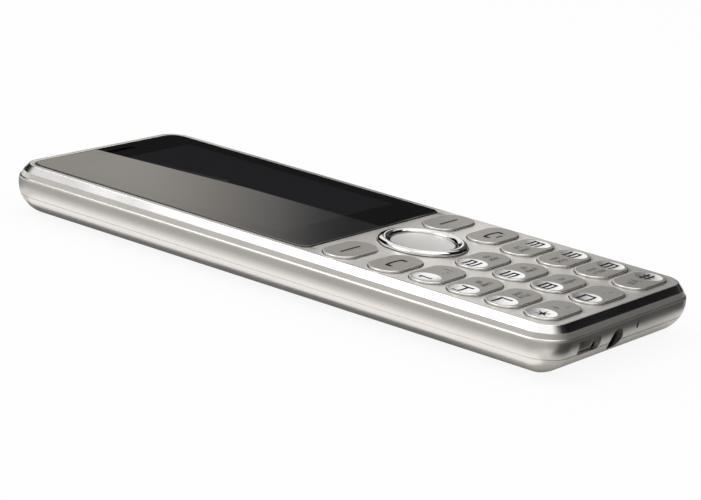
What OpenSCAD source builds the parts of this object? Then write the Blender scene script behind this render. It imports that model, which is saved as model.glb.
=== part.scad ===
// Feature phone lying on its back: X across, Y towards the earpiece, Z out of the front face.
// The origin is on the back, under the middle of the body. All sizes are in millimetres.

/* [Body] */
// Width over the widest line of the sides
body_w = 52.8; // [47:0.1:59]
// Length over the widest line of the ends
body_l = 132; // [118:0.5:146]
// Thickness from the flat back to the flat front face
body_t = 10.4; // [9.4:0.1:13]
// Corner radius of the flat front face
face_r = 4.5; // [4:0.1:5.5]
// Run of the bright bevel round the front face
bevel_out = 1.1; // [0.8:0.05:1.3]
// Drop of that bevel
bevel_drop = 1.35; // [1.1:0.05:1.5]
// Run of the steep band below the bevel
band_out = 0.52; // [0.3:0.02:0.6]
// Drop of that band
band_drop = 0.95; // [0.8:0.05:1.1]
// How far the sides swell past the band
swell_out = 0.28; // [0.15:0.02:0.4]
// Depth of the widest line below the front face
belly_drop = 3.6; // [3.4:0.1:4]
// Depth of the cover's seam below the front face
seam_drop = 6.2; // [5.8:0.1:6.5]
// Radius of the bead along the top of the rear chassis
bead_r = 0.24; // [0.15:0.01:0.28]
// Clearance between shells that meet in a seam
seam_gap = 0.08; // [0.05:0.01:0.12]
// Wall of the rear chassis
chassis_wall = 1.5; // [1.2:0.1:1.7]
// Wall of the battery cover
cover_wall = 1; // [0.8:0.1:1.2]
// Clearance between the chassis lip and the cover
lip_gap = 0.25; // [0.2:0.05:0.4]

/* [Display] */
// Flat rim between the lens and the side bevels
rim_side = 1.5; // [1.3:0.05:2.5]
// Flat rim between the lens and the upper bevel
rim_top = 1.3; // [1:0.1:2]
// Thickness of the lens
lens_t = 0.7; // [0.5:0.05:0.8]
// Radius of the lens's upper corners
lens_r_top = 3; // [2:0.1:4]
// Radius of the lens's lower corners
lens_r_low = 2; // [1:0.1:3]
// Gap round the lens
lens_gap = 0.15; // [0.08:0.01:0.25]
// Thickness of the adhesive tape under the lens
tape_t = 0.1; // [0.05:0.01:0.15]
// Distance from the lens's sides in to the viewed display
view_side = 4.45; // [3.9:0.05:6]
// Distance from the lens's upper edge down to the viewed display
view_drop = 7.9; // [7.2:0.1:9.5]
// Distance from the lens's lower edge up to the viewed display
view_chin = 9.2; // [8:0.1:12]
// Border of the display module round the viewed display
module_border = 1.9; // [1.5:0.1:2.1]
// Length of the earpiece slot
ear_slot_l = 12; // [8:0.5:14]
// Width of the earpiece slot
ear_slot_w = 1.2; // [0.8:0.1:1.6]
// Distance from the lens's upper edge down to the earpiece slot
ear_drop = 3.1; // [2.9:0.1:3.3]

/* [Keys] */
// Width of every key
key_w = 7.26; // [6.4:0.02:8]
// Space between the number keys of a row
key_space = 2.16; // [1.6:0.02:3]
// Distance of the outer number keys from the edge of the front face
key_edge = 2.09; // [1.8:0.01:3]
// Space between the rows of number keys
row_space = 1.22; // [1.16:0.02:2]
// Distance of the last row from the edge of the front face
row_edge = 1.93; // [1.7:0.01:3]
// Distance of the soft, call and end keys from the edge of the front face
side_key_edge = 1.25; // [1.1:0.01:2]
// Height of the key tops above the front face
key_rise = 0.7; // [0.4:0.05:1]
// Width of the chamfer round a key's top
key_chamfer = 0.3; // [0.15:0.05:0.4]
// Travel of a pressed key
key_travel = 0.3; // [0.2:0.02:0.4]
// Gap between a key and its hole
key_gap = 0.2; // [0.15:0.01:0.3]
// Reach of a key's flange under the front housing
flange_out = 0.33; // [0.25:0.01:0.36]
// Thickness of that flange
flange_t = 0.4; // [0.3:0.05:0.5]
// Radius of the polished dish that holds a number
dish_r = 2.75; // [2.2:0.05:2.9]
// Depth of that dish
dish_depth = 0.2; // [0.1:0.02:0.3]
// Distance of the dish's middle from the end of its key
dish_end = 3.25; // [3.1:0.05:4]
// Width of the scoop in the front face round a key
scoop_w = 0.6; // [0.3:0.05:0.65]
// Depth of that scoop at the key's hole
scoop_depth = 0.25; // [0.1:0.05:0.4]

/* [Navigation] */
// Space between the lens and the ring, and between the lens and the soft keys
nav_space = 2.47; // [2:0.01:4]
// Space from the ring, and from the call and end keys, to the number keys
nav_row_space = 1.54; // [1.36:0.02:3]
// Space between the ring and the keys at its sides
nav_side_space = 1.32; // [0.8:0.02:2]
// Outer radius of the navigation ring
nav_r = 8.93; // [8.03:0.01:9.9]
// Width of the ring's low outer lip
nav_lip = 0.45; // [0.3:0.05:0.6]
// Height of the ring's crest above the front face
nav_rise = 0.95; // [0.6:0.05:1.2]
// Tilt of the ring each way, in degrees
nav_tilt = 1.25; // [0.8:0.05:1.4]
// Radius of the select key
select_r = 6.4; // [5.6:0.05:6.5]
// Height of the select key above the front face
select_rise = 0.3; // [0.15:0.05:0.5]
// Depth of the select key's dish
select_dish = 0.12; // [0.06:0.01:0.2]
// Thickness of the film that carries the ring
film_t = 0.15; // [0.1:0.01:0.2]

/* [Boards and key mat] */
// Depth of the main board's top below the front face
board_drop = 2.85; // [2.8:0.05:3]
// Thickness of the main board
board_t = 0.8; // [0.6:0.05:1]
// Gap between the main board and the chassis deck
deck_gap = 0.5; // [0.3:0.05:0.6]
// Thickness of the chassis deck
deck_t = 0.7; // [0.6:0.05:0.8]
// Height of a dome above the main board
dome_rise = 0.2; // [0.15:0.01:0.22]
// Radius of a dome
dome_r = 2.2; // [1.6:0.1:2.3]
// Thickness of the key mat
mat_t = 0.42; // [0.35:0.01:0.5]
// Clearance between pieces of the inner stack
stack_gap = 0.05; // [0.03:0.01:0.06]

/* [Ports] */
// Place of the micro-USB socket across the bottom end
usb_x = -13.4; // [-15:0.1:-12.6]
// Depth of the micro-USB socket's middle below the front face
usb_drop = 4.95; // [4.9:0.05:5]
// Outer width of the micro-USB shell
usb_w = 7.4; // [7:0.1:7.6]
// Outer height of the micro-USB shell
usb_h = 2.5; // [2.3:0.05:2.55]
// Depth of the micro-USB shell
usb_l = 5.6; // [5:0.1:6]
// Thickness of the micro-USB shell
usb_wall = 0.25; // [0.2:0.01:0.3]
// Place of the headset jack across the bottom end
jack_x = -3.4; // [-3.8:0.1:-3]
// Depth of the headset jack's middle below the front face
jack_drop = 5.8; // [5.75:0.05:5.9]
// Radius of the headset jack's bore
jack_r = 1.8; // [1.75:0.01:1.85]
// Width of the headset jack's body
jack_w = 6; // [5.4:0.1:6.4]
// Length of the headset jack's body
jack_l = 13; // [11:0.5:14]
// Place of the microphone across the bottom end
mic_x = 3.6; // [3.2:0.1:4]
// Depth of the microphone hole below the front face
mic_drop = 4.2; // [4.1:0.05:4.3]
// Clearance between the jack's body and the cover's round end
jack_clear = 0.5; // [0.3:0.05:0.8]
// Clearance of the housing round a socket
port_gap = 0.18; // [0.1:0.01:0.25]

/* [Battery side] */
// Distance of the battery's sides from the edges of the front face
battery_side = 7.5; // [6.8:0.1:9]
// Length of the battery
battery_l = 53; // [46:0.5:60]
// Clearance round the battery
battery_gap = 0.2; // [0.15:0.01:0.3]
// Width of a SIM holder
sim_w = 17; // [16:0.1:18]
// Length of a SIM holder
sim_l = 14; // [13:0.1:14.5]
// Thickness of the card holders
sim_t = 1.5; // [1.3:0.05:1.6]
// Width of the loudspeaker
speaker_w = 14; // [13:0.1:14.5]
// Length of the loudspeaker
speaker_l = 9; // [8:0.1:9.5]
// Height of the loudspeaker
speaker_t = 3; // [2.5:0.1:3.2]
// Radius of the vibration motor
motor_r = 4; // [3.5:0.1:4.2]
// Height of the vibration motor
motor_t = 2.7; // [2.3:0.1:2.8]
// Width of the camera module
camera_w = 8; // [7:0.1:8.4]
// Radius of the camera window
camera_r = 3.4; // [3:0.1:3.6]
// Radius of the flash window
flash_r = 1.6; // [1.2:0.1:1.8]
// Shaft radius of a housing screw
screw_r = 0.7; // [0.6:0.02:0.8]
// Head radius of a housing screw
screw_head_r = 1.3; // [1.2:0.05:1.4]

/* [Hidden] */
$fn = 64;
eps = 0.01;
seat = 0.02;

// Plan of the flat face and the side profile
side_out = bevel_out + band_out + swell_out;
face_w = body_w - 2 * side_out;
face_l = body_l - 2 * side_out;
back_round = face_r + side_out;
belly_z = body_t - belly_drop;
band_low = bevel_drop + band_drop;
chassis_top = body_t - band_low - seam_gap;
seam_phi = asin((seam_drop - belly_drop) / belly_z);
lip_phi = seam_phi + 13;

function side_h(phi) = side_out - back_round + back_round * cos(phi);
function side_z(phi) = belly_z * (1 - sin(phi));
function side_n(phi) = [cos(phi) / back_round, sin(phi) / belly_z] / norm([cos(phi) / back_round, sin(phi) / belly_z]);
function inner_side(phi) = [side_h(phi) - cover_wall * side_n(phi)[0], side_z(phi) + cover_wall * side_n(phi)[1]];
lip_out = inner_side(lip_phi)[0] - lip_gap;
lip_z = inner_side(lip_phi)[1];

// Levels of the inner stack, from the front face downwards
board_top = body_t - board_drop;
board_z = board_top - board_t;
dome_top = board_top + dome_rise;
mat_z = dome_top + stack_gap;
mat_top = mat_z + mat_t;
key_z = mat_top + key_travel + stack_gap;
flange_top = key_z + flange_t;
web_z = flange_top + stack_gap;
lens_z = body_t - lens_t;
pocket_z = lens_z - tape_t;
ledge_t = 0.35;
ledge_z = pocket_z - ledge_t;
gasket_t = 0.15;
lcd_z = board_top + stack_gap;
lcd_top = ledge_z - gasket_t;
deck_top = board_z - deck_gap;
deck_z = deck_top - deck_t;
housing_z = body_t - band_low;

// Keys across the face, between its edges and round the navigation ring
key_l = (face_w - 2 * key_edge - 2 * key_space) / 3;
col_pitch = key_l + key_space;
row_pitch = key_w + row_space;
side_key_l = face_w / 2 - side_key_edge - nav_r - nav_side_space;
side_key_x = face_w / 2 - side_key_edge - side_key_l / 2;
dish_shift = key_l / 2 - dish_end;

// Places along the face: the key field keeps its length and the lens takes the rest
field_l = nav_space + 2 * nav_r + nav_row_space + 4 * key_w + 3 * row_space + row_edge;
lens_w = face_w - 2 * rim_side;
lens_l = face_l - rim_top - field_l;
view_w = lens_w - 2 * view_side;
view_l = lens_l - view_drop - view_chin;
lens_top_y = face_l / 2 - rim_top;
lens_low_y = lens_top_y - lens_l;
lens_y = lens_low_y + lens_l / 2;
view_top_y = lens_top_y - view_drop;
view_y = view_top_y - view_l / 2;
ear_y = lens_top_y - ear_drop;
ear_rim = 0.4;
ear_gap = 2;
soft_y = lens_low_y - nav_space - key_w / 2;
nav_y = lens_low_y - nav_space - nav_r;
function row_y(row) = nav_y - nav_r - nav_row_space - key_w / 2 - row * row_pitch;
call_y = row_y(0) + key_w + nav_row_space;

// Inside outlines, as half sizes measured from the face's own outline
cavity_in = 0.5;
cavity_w = face_w - 2 * cavity_in;
cavity_l = face_l - 2 * cavity_in;
board_gap = 0.6;
board_w = cavity_w - 2 * board_gap;
board_l = cavity_l - 2 * board_gap;
bay_in = side_out - chassis_wall;

// Housing screws: one pair between display and keys, one pair beside the earpiece
boss_r = 1.7;
boss_gap = 0.7;
boss_up = 2.3;
boss_corner = 1;
boss_x = cavity_w / 2 - boss_r - boss_gap;
boss_mid_y = lens_low_y + boss_up;
boss_top_x = boss_x - boss_corner;
boss_top_y = cavity_l / 2 - boss_r - boss_gap - 1.2 * boss_corner;
BOSSES = [[-boss_x, boss_mid_y], [boss_x, boss_mid_y], [-boss_top_x, boss_top_y], [boss_top_x, boss_top_y]];
screw_head_t = 0.7;
screw_bite = 2.4;

// Navigation levels: the film, then the ring on it
nav_flange_r = nav_r + key_gap + 0.3;
nav_edge = nav_flange_r * sin(nav_tilt);
film_z = mat_top + nav_edge + stack_gap;
ring_z = film_z + film_t + nav_edge + stack_gap;
ring_flange_t = 0.3;
nav_pocket_z = ring_z + ring_flange_t + nav_edge * sqrt(2) + stack_gap;
select_gap = 0.22;
ring_in = select_r + select_gap;
select_flange_r = select_r + 0.65;
select_flange_t = 0.25;
relief_r = select_flange_r + 0.45;
relief_z = key_z + select_flange_t + relief_r * sin(nav_tilt) * sqrt(2) + 2 * stack_gap;

// Ports, with heights above the back
end_y = -face_l / 2 - side_out;
mouth_y = -face_l / 2 - 0.4;
usb_z = body_t - usb_drop;
jack_z = body_t - jack_drop;
jack_h = 2 * (board_z - jack_z - seat);
jack_level = (jack_z - jack_h / 2 - jack_clear - cover_wall) / (belly_z - cover_wall);
jack_reach = (back_round - cover_wall) * sqrt(1 - pow(1 - jack_level, 2));
jack_nose = face_r - jack_reach - face_l / 2 - mouth_y;
contact_up = 3.45;
contact_pitch = 4;
contact_size = [0.4, 2.3, 1.1];
contact_gap = 0.05;
mic_z = body_t - mic_drop;
mic_size = [3.6, 2.8, 1.1];
boot_size = [4.4, 2.65, mic_size[2]];
boot_up = 0.3;
mic_y = mouth_y + boot_up + boot_size[1] + stack_gap + mic_size[1] / 2;

// Stamped antenna between the microphone and the side wall
antenna_up = 2.6;
antenna_l = 11.5;
antenna_t = 0.3;
antenna_slot = 1.2;
antenna_web = 2;
antenna_side = 3.5;
antenna_left = mic_x + boot_size[0];
antenna_right = face_w / 2 - antenna_side;

// Battery side: the rear pieces hang from the upper screws, and the battery with the card holders
// sits in the middle of the room between them and the ports
battery_w = face_w - 2 * battery_side;
battery_z = cover_wall + 0.15;
battery_t = deck_z - stack_gap - battery_z;
bay_wall = 0.9;
contact_l = 2.6;
card_gap = 0.7;
rear_gap = 0.3;
rear_l = max(speaker_l, camera_w, 2 * motor_r);
rear_y = boss_top_y - screw_head_r - rear_gap - rear_l / 2;
ports_top_y = mouth_y + max(jack_l, antenna_up + antenna_l);
bay_l = bay_wall + battery_l + 2 * battery_gap + contact_l + 2 * sim_l + 2 * card_gap;
bay_y = (ports_top_y + rear_y - rear_l / 2 - bay_l) / 2;
battery_y = bay_y + bay_wall + battery_gap + battery_l / 2;
battery_top_y = battery_y + battery_l / 2;
sim_y = battery_top_y + battery_gap + contact_l + card_gap + sim_l / 2;
sim_x = sim_w / 2 + 1.2;
card_y = sim_y + sim_l + card_gap;
rear_space = 1.6;
flash_x = camera_w / 2 + flash_r + rear_space + 1;
motor_x = flash_x + flash_r + motor_r + rear_space;
speaker_x = -(camera_w / 2 + rear_space + speaker_w / 2);
speaker_lip = 0.25;
speaker_z = deck_z - stack_gap - speaker_t;
window_t = 0.6;
window_z = 0.1;
led_w = 2.2;
led_t = 1.2;
led_lens = 0.4;
led_z = board_z - seat - led_t;
pipe_r = 0.9;
pipe_gap = 0.3;

// Key table: name, X, Y, length and side of the number's dish
SIDE_KEYS = [
    ["key_soft_left", -side_key_x, soft_y, side_key_l, 0],
    ["key_soft_right", side_key_x, soft_y, side_key_l, 0],
    ["key_call", -side_key_x, call_y, side_key_l, 0],
    ["key_end", side_key_x, call_y, side_key_l, 0]];
NUMBERS = [["key_1", "key_2", "key_3"], ["key_4", "key_5", "key_6"],
    ["key_7", "key_8", "key_9"], ["key_star", "key_0", "key_hash"]];
NUMBER_KEYS = [for (row = [0:3], col = [0:2])
    [NUMBERS[row][col], (col - 1) * col_pitch, row_y(row), key_l, col == 2 ? 1 : -1]];
KEYS = concat(SIDE_KEYS, NUMBER_KEYS);

silver = [0.66, 0.65, 0.63];
satin = [0.62, 0.61, 0.59];
black = [0.06, 0.06, 0.06];
steel = [0.72, 0.72, 0.7];

// Rounded rectangle, centred
module plate(w, l, r) {
    square([w - 2 * r, l], center = true);
    square([w, l - 2 * r], center = true);
    for (x = [-1, 1], y = [-1, 1])
        translate([x * (w / 2 - r), y * (l / 2 - r)]) circle(r);
}

// Solid rounded plate between two heights, its outline set in from the face's own
module slab(inset, z0, z1) {
    translate([0, 0, z0]) linear_extrude(z1 - z0)
        plate(face_w - 2 * inset, face_l - 2 * inset, face_r - inset);
}

// Section of points [distance out from the face's edge, height], swept round the face's outline
module swept(section) {
    hx = face_w / 2 - face_r;
    hy = face_l / 2 - face_r;
    moved = [for (p = section) [p[0] + face_r, p[1]]];
    for (i = [0:3]) rotate(90 * i) {
        out = i % 2 == 0 ? hx : hy;
        along = i % 2 == 0 ? hy : hx;
        translate([out, 0, 0]) rotate([90, 0, 0]) linear_extrude(2 * along, center = true) polygon(moved);
        translate([out, along, 0]) rotate_extrude(angle = 90) polygon(moved);
    }
}

// Capsule lying along X, its base at z = 0
module pill(l, w, h) {
    linear_extrude(h) {
        square([l - w, w], center = true);
        for (x = [-1, 1]) translate([x * (l - w) / 2, 0]) circle(w / 2);
    }
}

// Capsule along X from a half section of points [distance from its middle line, height]
module capsule(l, w, section) {
    half = [for (p = section) if (p[0] > 0) p];
    for (x = [-1, 1]) translate([x * (l - w) / 2, 0, 0]) rotate_extrude() polygon(section);
    rotate([90, 0, 90]) linear_extrude(l - w, center = true)
        polygon(concat(half, [for (i = [len(half) - 1:-1:0]) [-half[i][0], half[i][1]]]));
}

module box(w, l, h) {
    translate([-w / 2, -l / 2, 0]) cube([w, l, h]);
}

// Outline of the lens, grown by a clearance
module lens_outline(grow) {
    reach = 20;
    intersection() {
        translate([0, lens_y - reach / 2]) plate(lens_w + 2 * grow, lens_l + reach + 2 * grow, lens_r_top + grow);
        translate([0, lens_y + reach / 2]) plate(lens_w + 2 * grow, lens_l + reach + 2 * grow, lens_r_low + grow);
    }
}

// Window in the ledge under the lens, and the display module's outline
module view_window(grow) {
    translate([0, view_y]) square([view_w + 2 * grow, view_l + 2 * grow], center = true);
}

// Half section of a scooped hole of one radius through the front face
function hole_section(r) = [[0, web_z - eps], [r, web_z - eps], [r, body_t - scoop_depth],
    [r + scoop_w, body_t], [r + scoop_w, body_t + 1], [0, body_t + 1]];

module key_hole(k) {
    translate([k[1], k[2], 0]) capsule(k[3], key_w, hole_section(key_w / 2 + key_gap));
}

// Scooped hole and underside pocket for the navigation ring
module nav_hole() {
    translate([0, nav_y, 0]) rotate_extrude($fn = 96) polygon(hole_section(nav_r + key_gap));
    translate([0, nav_y, web_z - eps]) cylinder(h = nav_pocket_z - web_z, r = nav_flange_r + flange_out);
}

module front_housing() color(silver) difference() {
    union() {
        swept([[-1, body_t], [0, body_t], [bevel_out, body_t - bevel_drop], [bevel_out + band_out, housing_z],
            [-cavity_in, housing_z], [-cavity_in, web_z], [-1, web_z]]);
        slab(0.75, web_z, body_t);
        for (b = BOSSES) translate([b[0], b[1], deck_top + seat])
            cylinder(h = ledge_z - deck_top + 0.1, r = boss_r);
    }
    translate([0, 0, pocket_z]) linear_extrude(body_t - pocket_z + 1) lens_outline(lens_gap);
    translate([0, 0, web_z - 1]) linear_extrude(pocket_z - web_z + 2) view_window(0.8);
    translate([0, 0, web_z - 1]) linear_extrude(ledge_z - web_z + 1) view_window(module_border + 0.3);
    translate([0, ear_y, web_z - 1]) box(ear_slot_l, ear_slot_w, pocket_z - web_z + 2);
    for (k = KEYS) key_hole(k);
    nav_hole();
    for (b = BOSSES) translate([b[0], b[1], deck_top - 1])
        cylinder(h = pocket_z - 0.5 - deck_top + 1, r = screw_r + 0.03);
}

module display_lens() color(black) translate([0, 0, lens_z]) linear_extrude(lens_t) difference() {
    lens_outline(0);
    translate([0, ear_y]) {
        square([ear_slot_l - ear_slot_w, ear_slot_w], center = true);
        for (x = [-1, 1]) translate([x * (ear_slot_l - ear_slot_w) / 2, 0]) circle(ear_slot_w / 2);
    }
}

module lens_tape() color([0.15, 0.15, 0.15]) translate([0, 0, pocket_z + seat / 2])
    linear_extrude(tape_t - seat) difference() {
        lens_outline(-0.2);
        view_window(1);
        translate([0, ear_y]) square([ear_slot_l + 1, ear_slot_w + 0.8], center = true);
    }

module earpiece_mesh() color([0.25, 0.25, 0.25]) {
    mesh_w = ear_slot_w - 0.16;
    translate([0, ear_y, pocket_z + seat]) difference() {
        pill(ear_slot_l - 0.16, mesh_w, lens_t * 0.6);
        for (i = [-5:5], j = [-1, 1]) translate([i * (ear_slot_l - 2) / 11, j * mesh_w / 5, -1])
            cylinder(h = 3, r = 0.14, $fn = 16);
    }
}

// Receiver capsule: a basket with a raised front, between the display module and the end wall
module earpiece() color([0.3, 0.3, 0.32]) translate([0, 0, lcd_z]) {
    low_y = view_top_y + module_border + ear_gap;
    depth = cavity_l / 2 - ear_rim - low_y;
    h = web_z - stack_gap - lcd_z;
    translate([0, low_y + depth / 2, 0]) {
        box(ear_slot_l + 2 * ear_rim, depth, h * 0.8);
        box(ear_slot_l, depth - 2 * ear_rim, h);
    }
}

module lcd_gasket() color([0.1, 0.1, 0.1]) translate([0, 0, lcd_top + seat / 2])
    linear_extrude(gasket_t - seat) difference() {
        view_window(module_border);
        view_window(0.8);
    }

// Display module: a metal tray with the panel standing in it
module lcd_module() color([0.1, 0.11, 0.13]) {
    tray = lcd_top - lcd_z - 0.35;
    translate([0, 0, lcd_z]) linear_extrude(tray) view_window(module_border);
    translate([0, 0, lcd_z + tray - eps]) linear_extrude(0.35 + eps) view_window(module_border - 0.35);
}

// Half section of a key: flange, stem and the chamfer round its top
function key_section() = [[0, key_z], [key_w / 2 + key_gap + flange_out, key_z],
    [key_w / 2 + key_gap + flange_out, flange_top], [key_w / 2, flange_top],
    [key_w / 2, body_t + key_rise - key_chamfer], [key_w / 2 - key_chamfer, body_t + key_rise],
    [0, body_t + key_rise]];

// One key, and on a number key the polished dish
module key(k) color(satin) translate([k[1], k[2], 0]) difference() {
    capsule(k[3], key_w, key_section());
    if (k[4] != 0) {
        dish_ball = (dish_r * dish_r + dish_depth * dish_depth) / (2 * dish_depth);
        translate([k[4] * dish_shift, 0, body_t + key_rise + dish_ball - dish_depth]) sphere(dish_ball);
    }
}

module nav_film() color([0.8, 0.8, 0.8]) translate([0, nav_y, film_z]) difference() {
    cylinder(h = film_t, r = nav_flange_r - 0.25);
    translate([0, 0, -1]) cylinder(h = 2, r = relief_r + 0.15);
}

// Ring section: flange, low outer lip, rounded crest and the slope down to the select key
module nav_ring() color([0.8, 0.8, 0.8]) translate([0, nav_y, 0]) rotate_extrude($fn = 96) {
    lip_z = body_t + 0.12;
    out_r = nav_r - nav_lip;
    mid_r = (ring_in + out_r) / 2;
    half = (out_r - ring_in) / 2;
    crest = body_t + nav_rise - lip_z;
    polygon(concat(
        [[relief_r, ring_z], [nav_flange_r, ring_z], [nav_flange_r, ring_z + ring_flange_t],
            [nav_r, ring_z + ring_flange_t], [nav_r, lip_z - 0.12], [nav_r - 0.12, lip_z]],
        [for (a = [0:15:180]) [mid_r + half * cos(a), lip_z + crest * sin(a)]],
        [[ring_in, relief_z], [relief_r, relief_z]]));
}

// Select key: a revolved section with a flange, a small chamfer and a shallow dish in its top
module select_key() color([0.8, 0.79, 0.78]) translate([0, nav_y, 0]) rotate_extrude($fn = 96) {
    top = body_t + select_rise;
    dish = select_r - 0.4;
    ball = (dish * dish + select_dish * select_dish) / (2 * select_dish);
    span = asin(dish / ball);
    polygon(concat(
        [[0, key_z], [select_flange_r, key_z], [select_flange_r, key_z + select_flange_t],
            [select_r, key_z + select_flange_t], [select_r, top - 0.15], [select_r - 0.15, top]],
        [for (i = [6:-1:0]) [ball * sin(span * i / 6), top + ball - select_dish - ball * cos(span * i / 6)]]));
}

// Places of the domes: one under each key, five under the navigation pieces
DOMES = concat([for (k = KEYS) [k[1], k[2]]], [[0, nav_y]],
    [for (a = [0:90:270]) [(nav_r - 1) * cos(a), nav_y + (nav_r - 1) * sin(a)]]);
mat_low_y = -cavity_l / 2 + 0.5;
mat_high_y = soft_y + key_w / 2 + 0.8;

module mat_outline(inset) {
    translate([0, (mat_low_y + mat_high_y) / 2])
        plate(cavity_w - 1 - 2 * inset, mat_high_y - mat_low_y - 2 * inset, face_r - 1.2);
}

module key_mat() color([0.85, 0.85, 0.82]) {
    skin = mat_t - 0.14;
    translate([0, 0, mat_top - skin]) linear_extrude(skin) mat_outline(0);
    for (d = DOMES) translate([d[0], d[1], mat_z]) cylinder(h = mat_t - 0.05, r = 0.8, $fn = 24);
}

// Snap domes on their film, each a flat cone with a small crown
module dome_sheet() color([0.75, 0.74, 0.7]) {
    film = 0.06;
    cap = dome_rise - film - seat;
    translate([0, 0, board_top + seat]) linear_extrude(film) mat_outline(0.3);
    for (d = DOMES) translate([d[0], d[1], board_top + seat + film - eps])
        cylinder(h = cap + eps, r1 = dome_r, r2 = dome_r * 0.4, $fn = 32);
}

module main_board() color([0.1, 0.35, 0.2]) translate([0, 0, board_z]) linear_extrude(board_t) difference() {
    plate(board_w, board_l, face_r - 1.1);
    for (b = BOSSES) translate([b[0], b[1]]) circle(boss_r + 0.3);
}

module shield_can() color(steel) translate([-sim_x, card_y, board_z - seat - sim_t]) difference() {
    box(sim_w, sim_l, sim_t);
    translate([0, 0, 0.2]) box(sim_w - 0.4, sim_l - 0.4, sim_t);
    for (x = [-1, 0, 1], y = [-1, 0, 1]) translate([x * sim_w / 4, y * sim_l / 4, -1])
        cylinder(h = 2, r = 0.5, $fn = 24);
}

// Outline of the micro-USB shell, wide side up, chamfered below
module usb_outline(grow) {
    w = usb_w / 2 + grow;
    h = usb_h / 2 + grow;
    polygon([[-w, h], [-w, -h * 0.1], [-w + usb_h * 0.42, -h], [w - usb_h * 0.42, -h], [w, -h * 0.1], [w, h]]);
}

module along_end(x, z, length) {
    translate([x, mouth_y, z]) rotate([90, 0, 0]) translate([0, 0, -length]) linear_extrude(length) children();
}

module usb_socket() color(steel) difference() {
    along_end(usb_x, usb_z, usb_l) usb_outline(0);
    translate([0, -usb_wall * 3, 0]) along_end(usb_x, usb_z, usb_l) usb_outline(-usb_wall);
}

module usb_tongue() color(black) translate([usb_x, mouth_y + 0.8, usb_z + 0.12])
    translate([-1.9, 0, 0]) cube([3.8, usb_l - 0.8 - usb_wall * 3 - seat, 0.55]);

module audio_jack() color(black) difference() {
    union() {
        translate([jack_x - jack_w / 2, mouth_y + jack_nose, jack_z - jack_h / 2])
            cube([jack_w, jack_l - jack_nose, jack_h]);
        translate([jack_x, mouth_y + jack_nose + 0.1, jack_z]) rotate([90, 0, 0])
            cylinder(h = jack_nose + 0.1, r = jack_h / 2 - 0.1);
    }
    translate([jack_x, mouth_y + jack_l + 1, jack_z]) rotate([90, 0, 0]) cylinder(h = jack_l + 2, r = jack_r);
    for (i = [0:1]) contact_at(i, contact_gap) translate([0, 0, -contact_size[2] / 2 - contact_gap])
        cube([1, contact_size[1] + 2 * contact_gap, contact_size[2] + 2 * contact_gap]);
}

// Place of one side contact of the jack, with a clearance round it
module contact_at(i, gap) {
    translate([jack_x + jack_w / 2 - contact_size[0] - gap, mouth_y + contact_up + i * contact_pitch - gap, jack_z])
        children();
}

module jack_contacts() color([0.8, 0.7, 0.4]) for (i = [0:1])
    contact_at(i, 0) translate([0, 0, -contact_size[2] / 2]) cube(contact_size);

module microphone() color(steel) translate([mic_x, mic_y, board_z - seat - mic_size[2]]) difference() {
    box(mic_size[0], mic_size[1], mic_size[2]);
    translate([0, -mic_size[1] / 2 + 0.4, mic_z - board_z + seat + mic_size[2]]) rotate([90, 0, 0])
        cylinder(h = 1, r = 0.25, $fn = 24);
}

module mic_boot() color([0.12, 0.12, 0.12])
    translate([mic_x, mouth_y + boot_up, board_z - seat - boot_size[2]]) difference() {
        translate([-boot_size[0] / 2, 0, 0]) cube(boot_size);
        translate([0, boot_size[1] + 1, mic_z - board_z + seat + boot_size[2]]) rotate([90, 0, 0])
            cylinder(h = boot_size[1] + 2, r = 0.4, $fn = 24);
    }

// Stamped antenna plate with two slots from opposite sides, under the deck beside the ports
module antenna() color([0.8, 0.72, 0.5])
    translate([antenna_left, mouth_y + antenna_up, deck_z - stack_gap - antenna_t]) difference() {
        w = antenna_right - antenna_left;
        cube([w, antenna_l, antenna_t]);
        translate([antenna_web, antenna_l / 4, -1]) cube([w, antenna_slot, antenna_t + 2]);
        translate([-antenna_web, antenna_l * 0.55, -1]) cube([w, antenna_slot, antenna_t + 2]);
    }

// Outer wall section of the chassis: bead, swell, then the start of the round back
function chassis_section() = concat(
    [for (a = [90:-30:-60]) [bevel_out + band_out + bead_r * cos(a), chassis_top - bead_r + bead_r * sin(a)]],
    [[side_out - swell_out * 0.35, belly_z + (chassis_top - 2 * bead_r - belly_z) * 0.55]],
    [for (i = [0:4]) [side_h(i * seam_phi / 4), side_z(i * seam_phi / 4) + (i == 4 ? seam_gap / 2 : 0)]],
    [[bay_in, side_z(seam_phi) + seam_gap / 2], [bay_in, chassis_top]]);

module port_cuts() {
    translate([0, -10, 0]) along_end(usb_x, usb_z, usb_l + 13) usb_outline(port_gap);
    translate([jack_x, mouth_y + jack_nose, jack_z]) rotate([90, 0, 0]) cylinder(h = 20, r = jack_h / 2 + port_gap - 0.1);
    translate([mic_x, mouth_y + 2, mic_z]) rotate([90, 0, 0]) linear_extrude(20) {
        square([0.7, 0.6], center = true);
        for (z = [-0.3, 0.3]) translate([0, z]) circle(0.35);
    }
}

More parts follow.
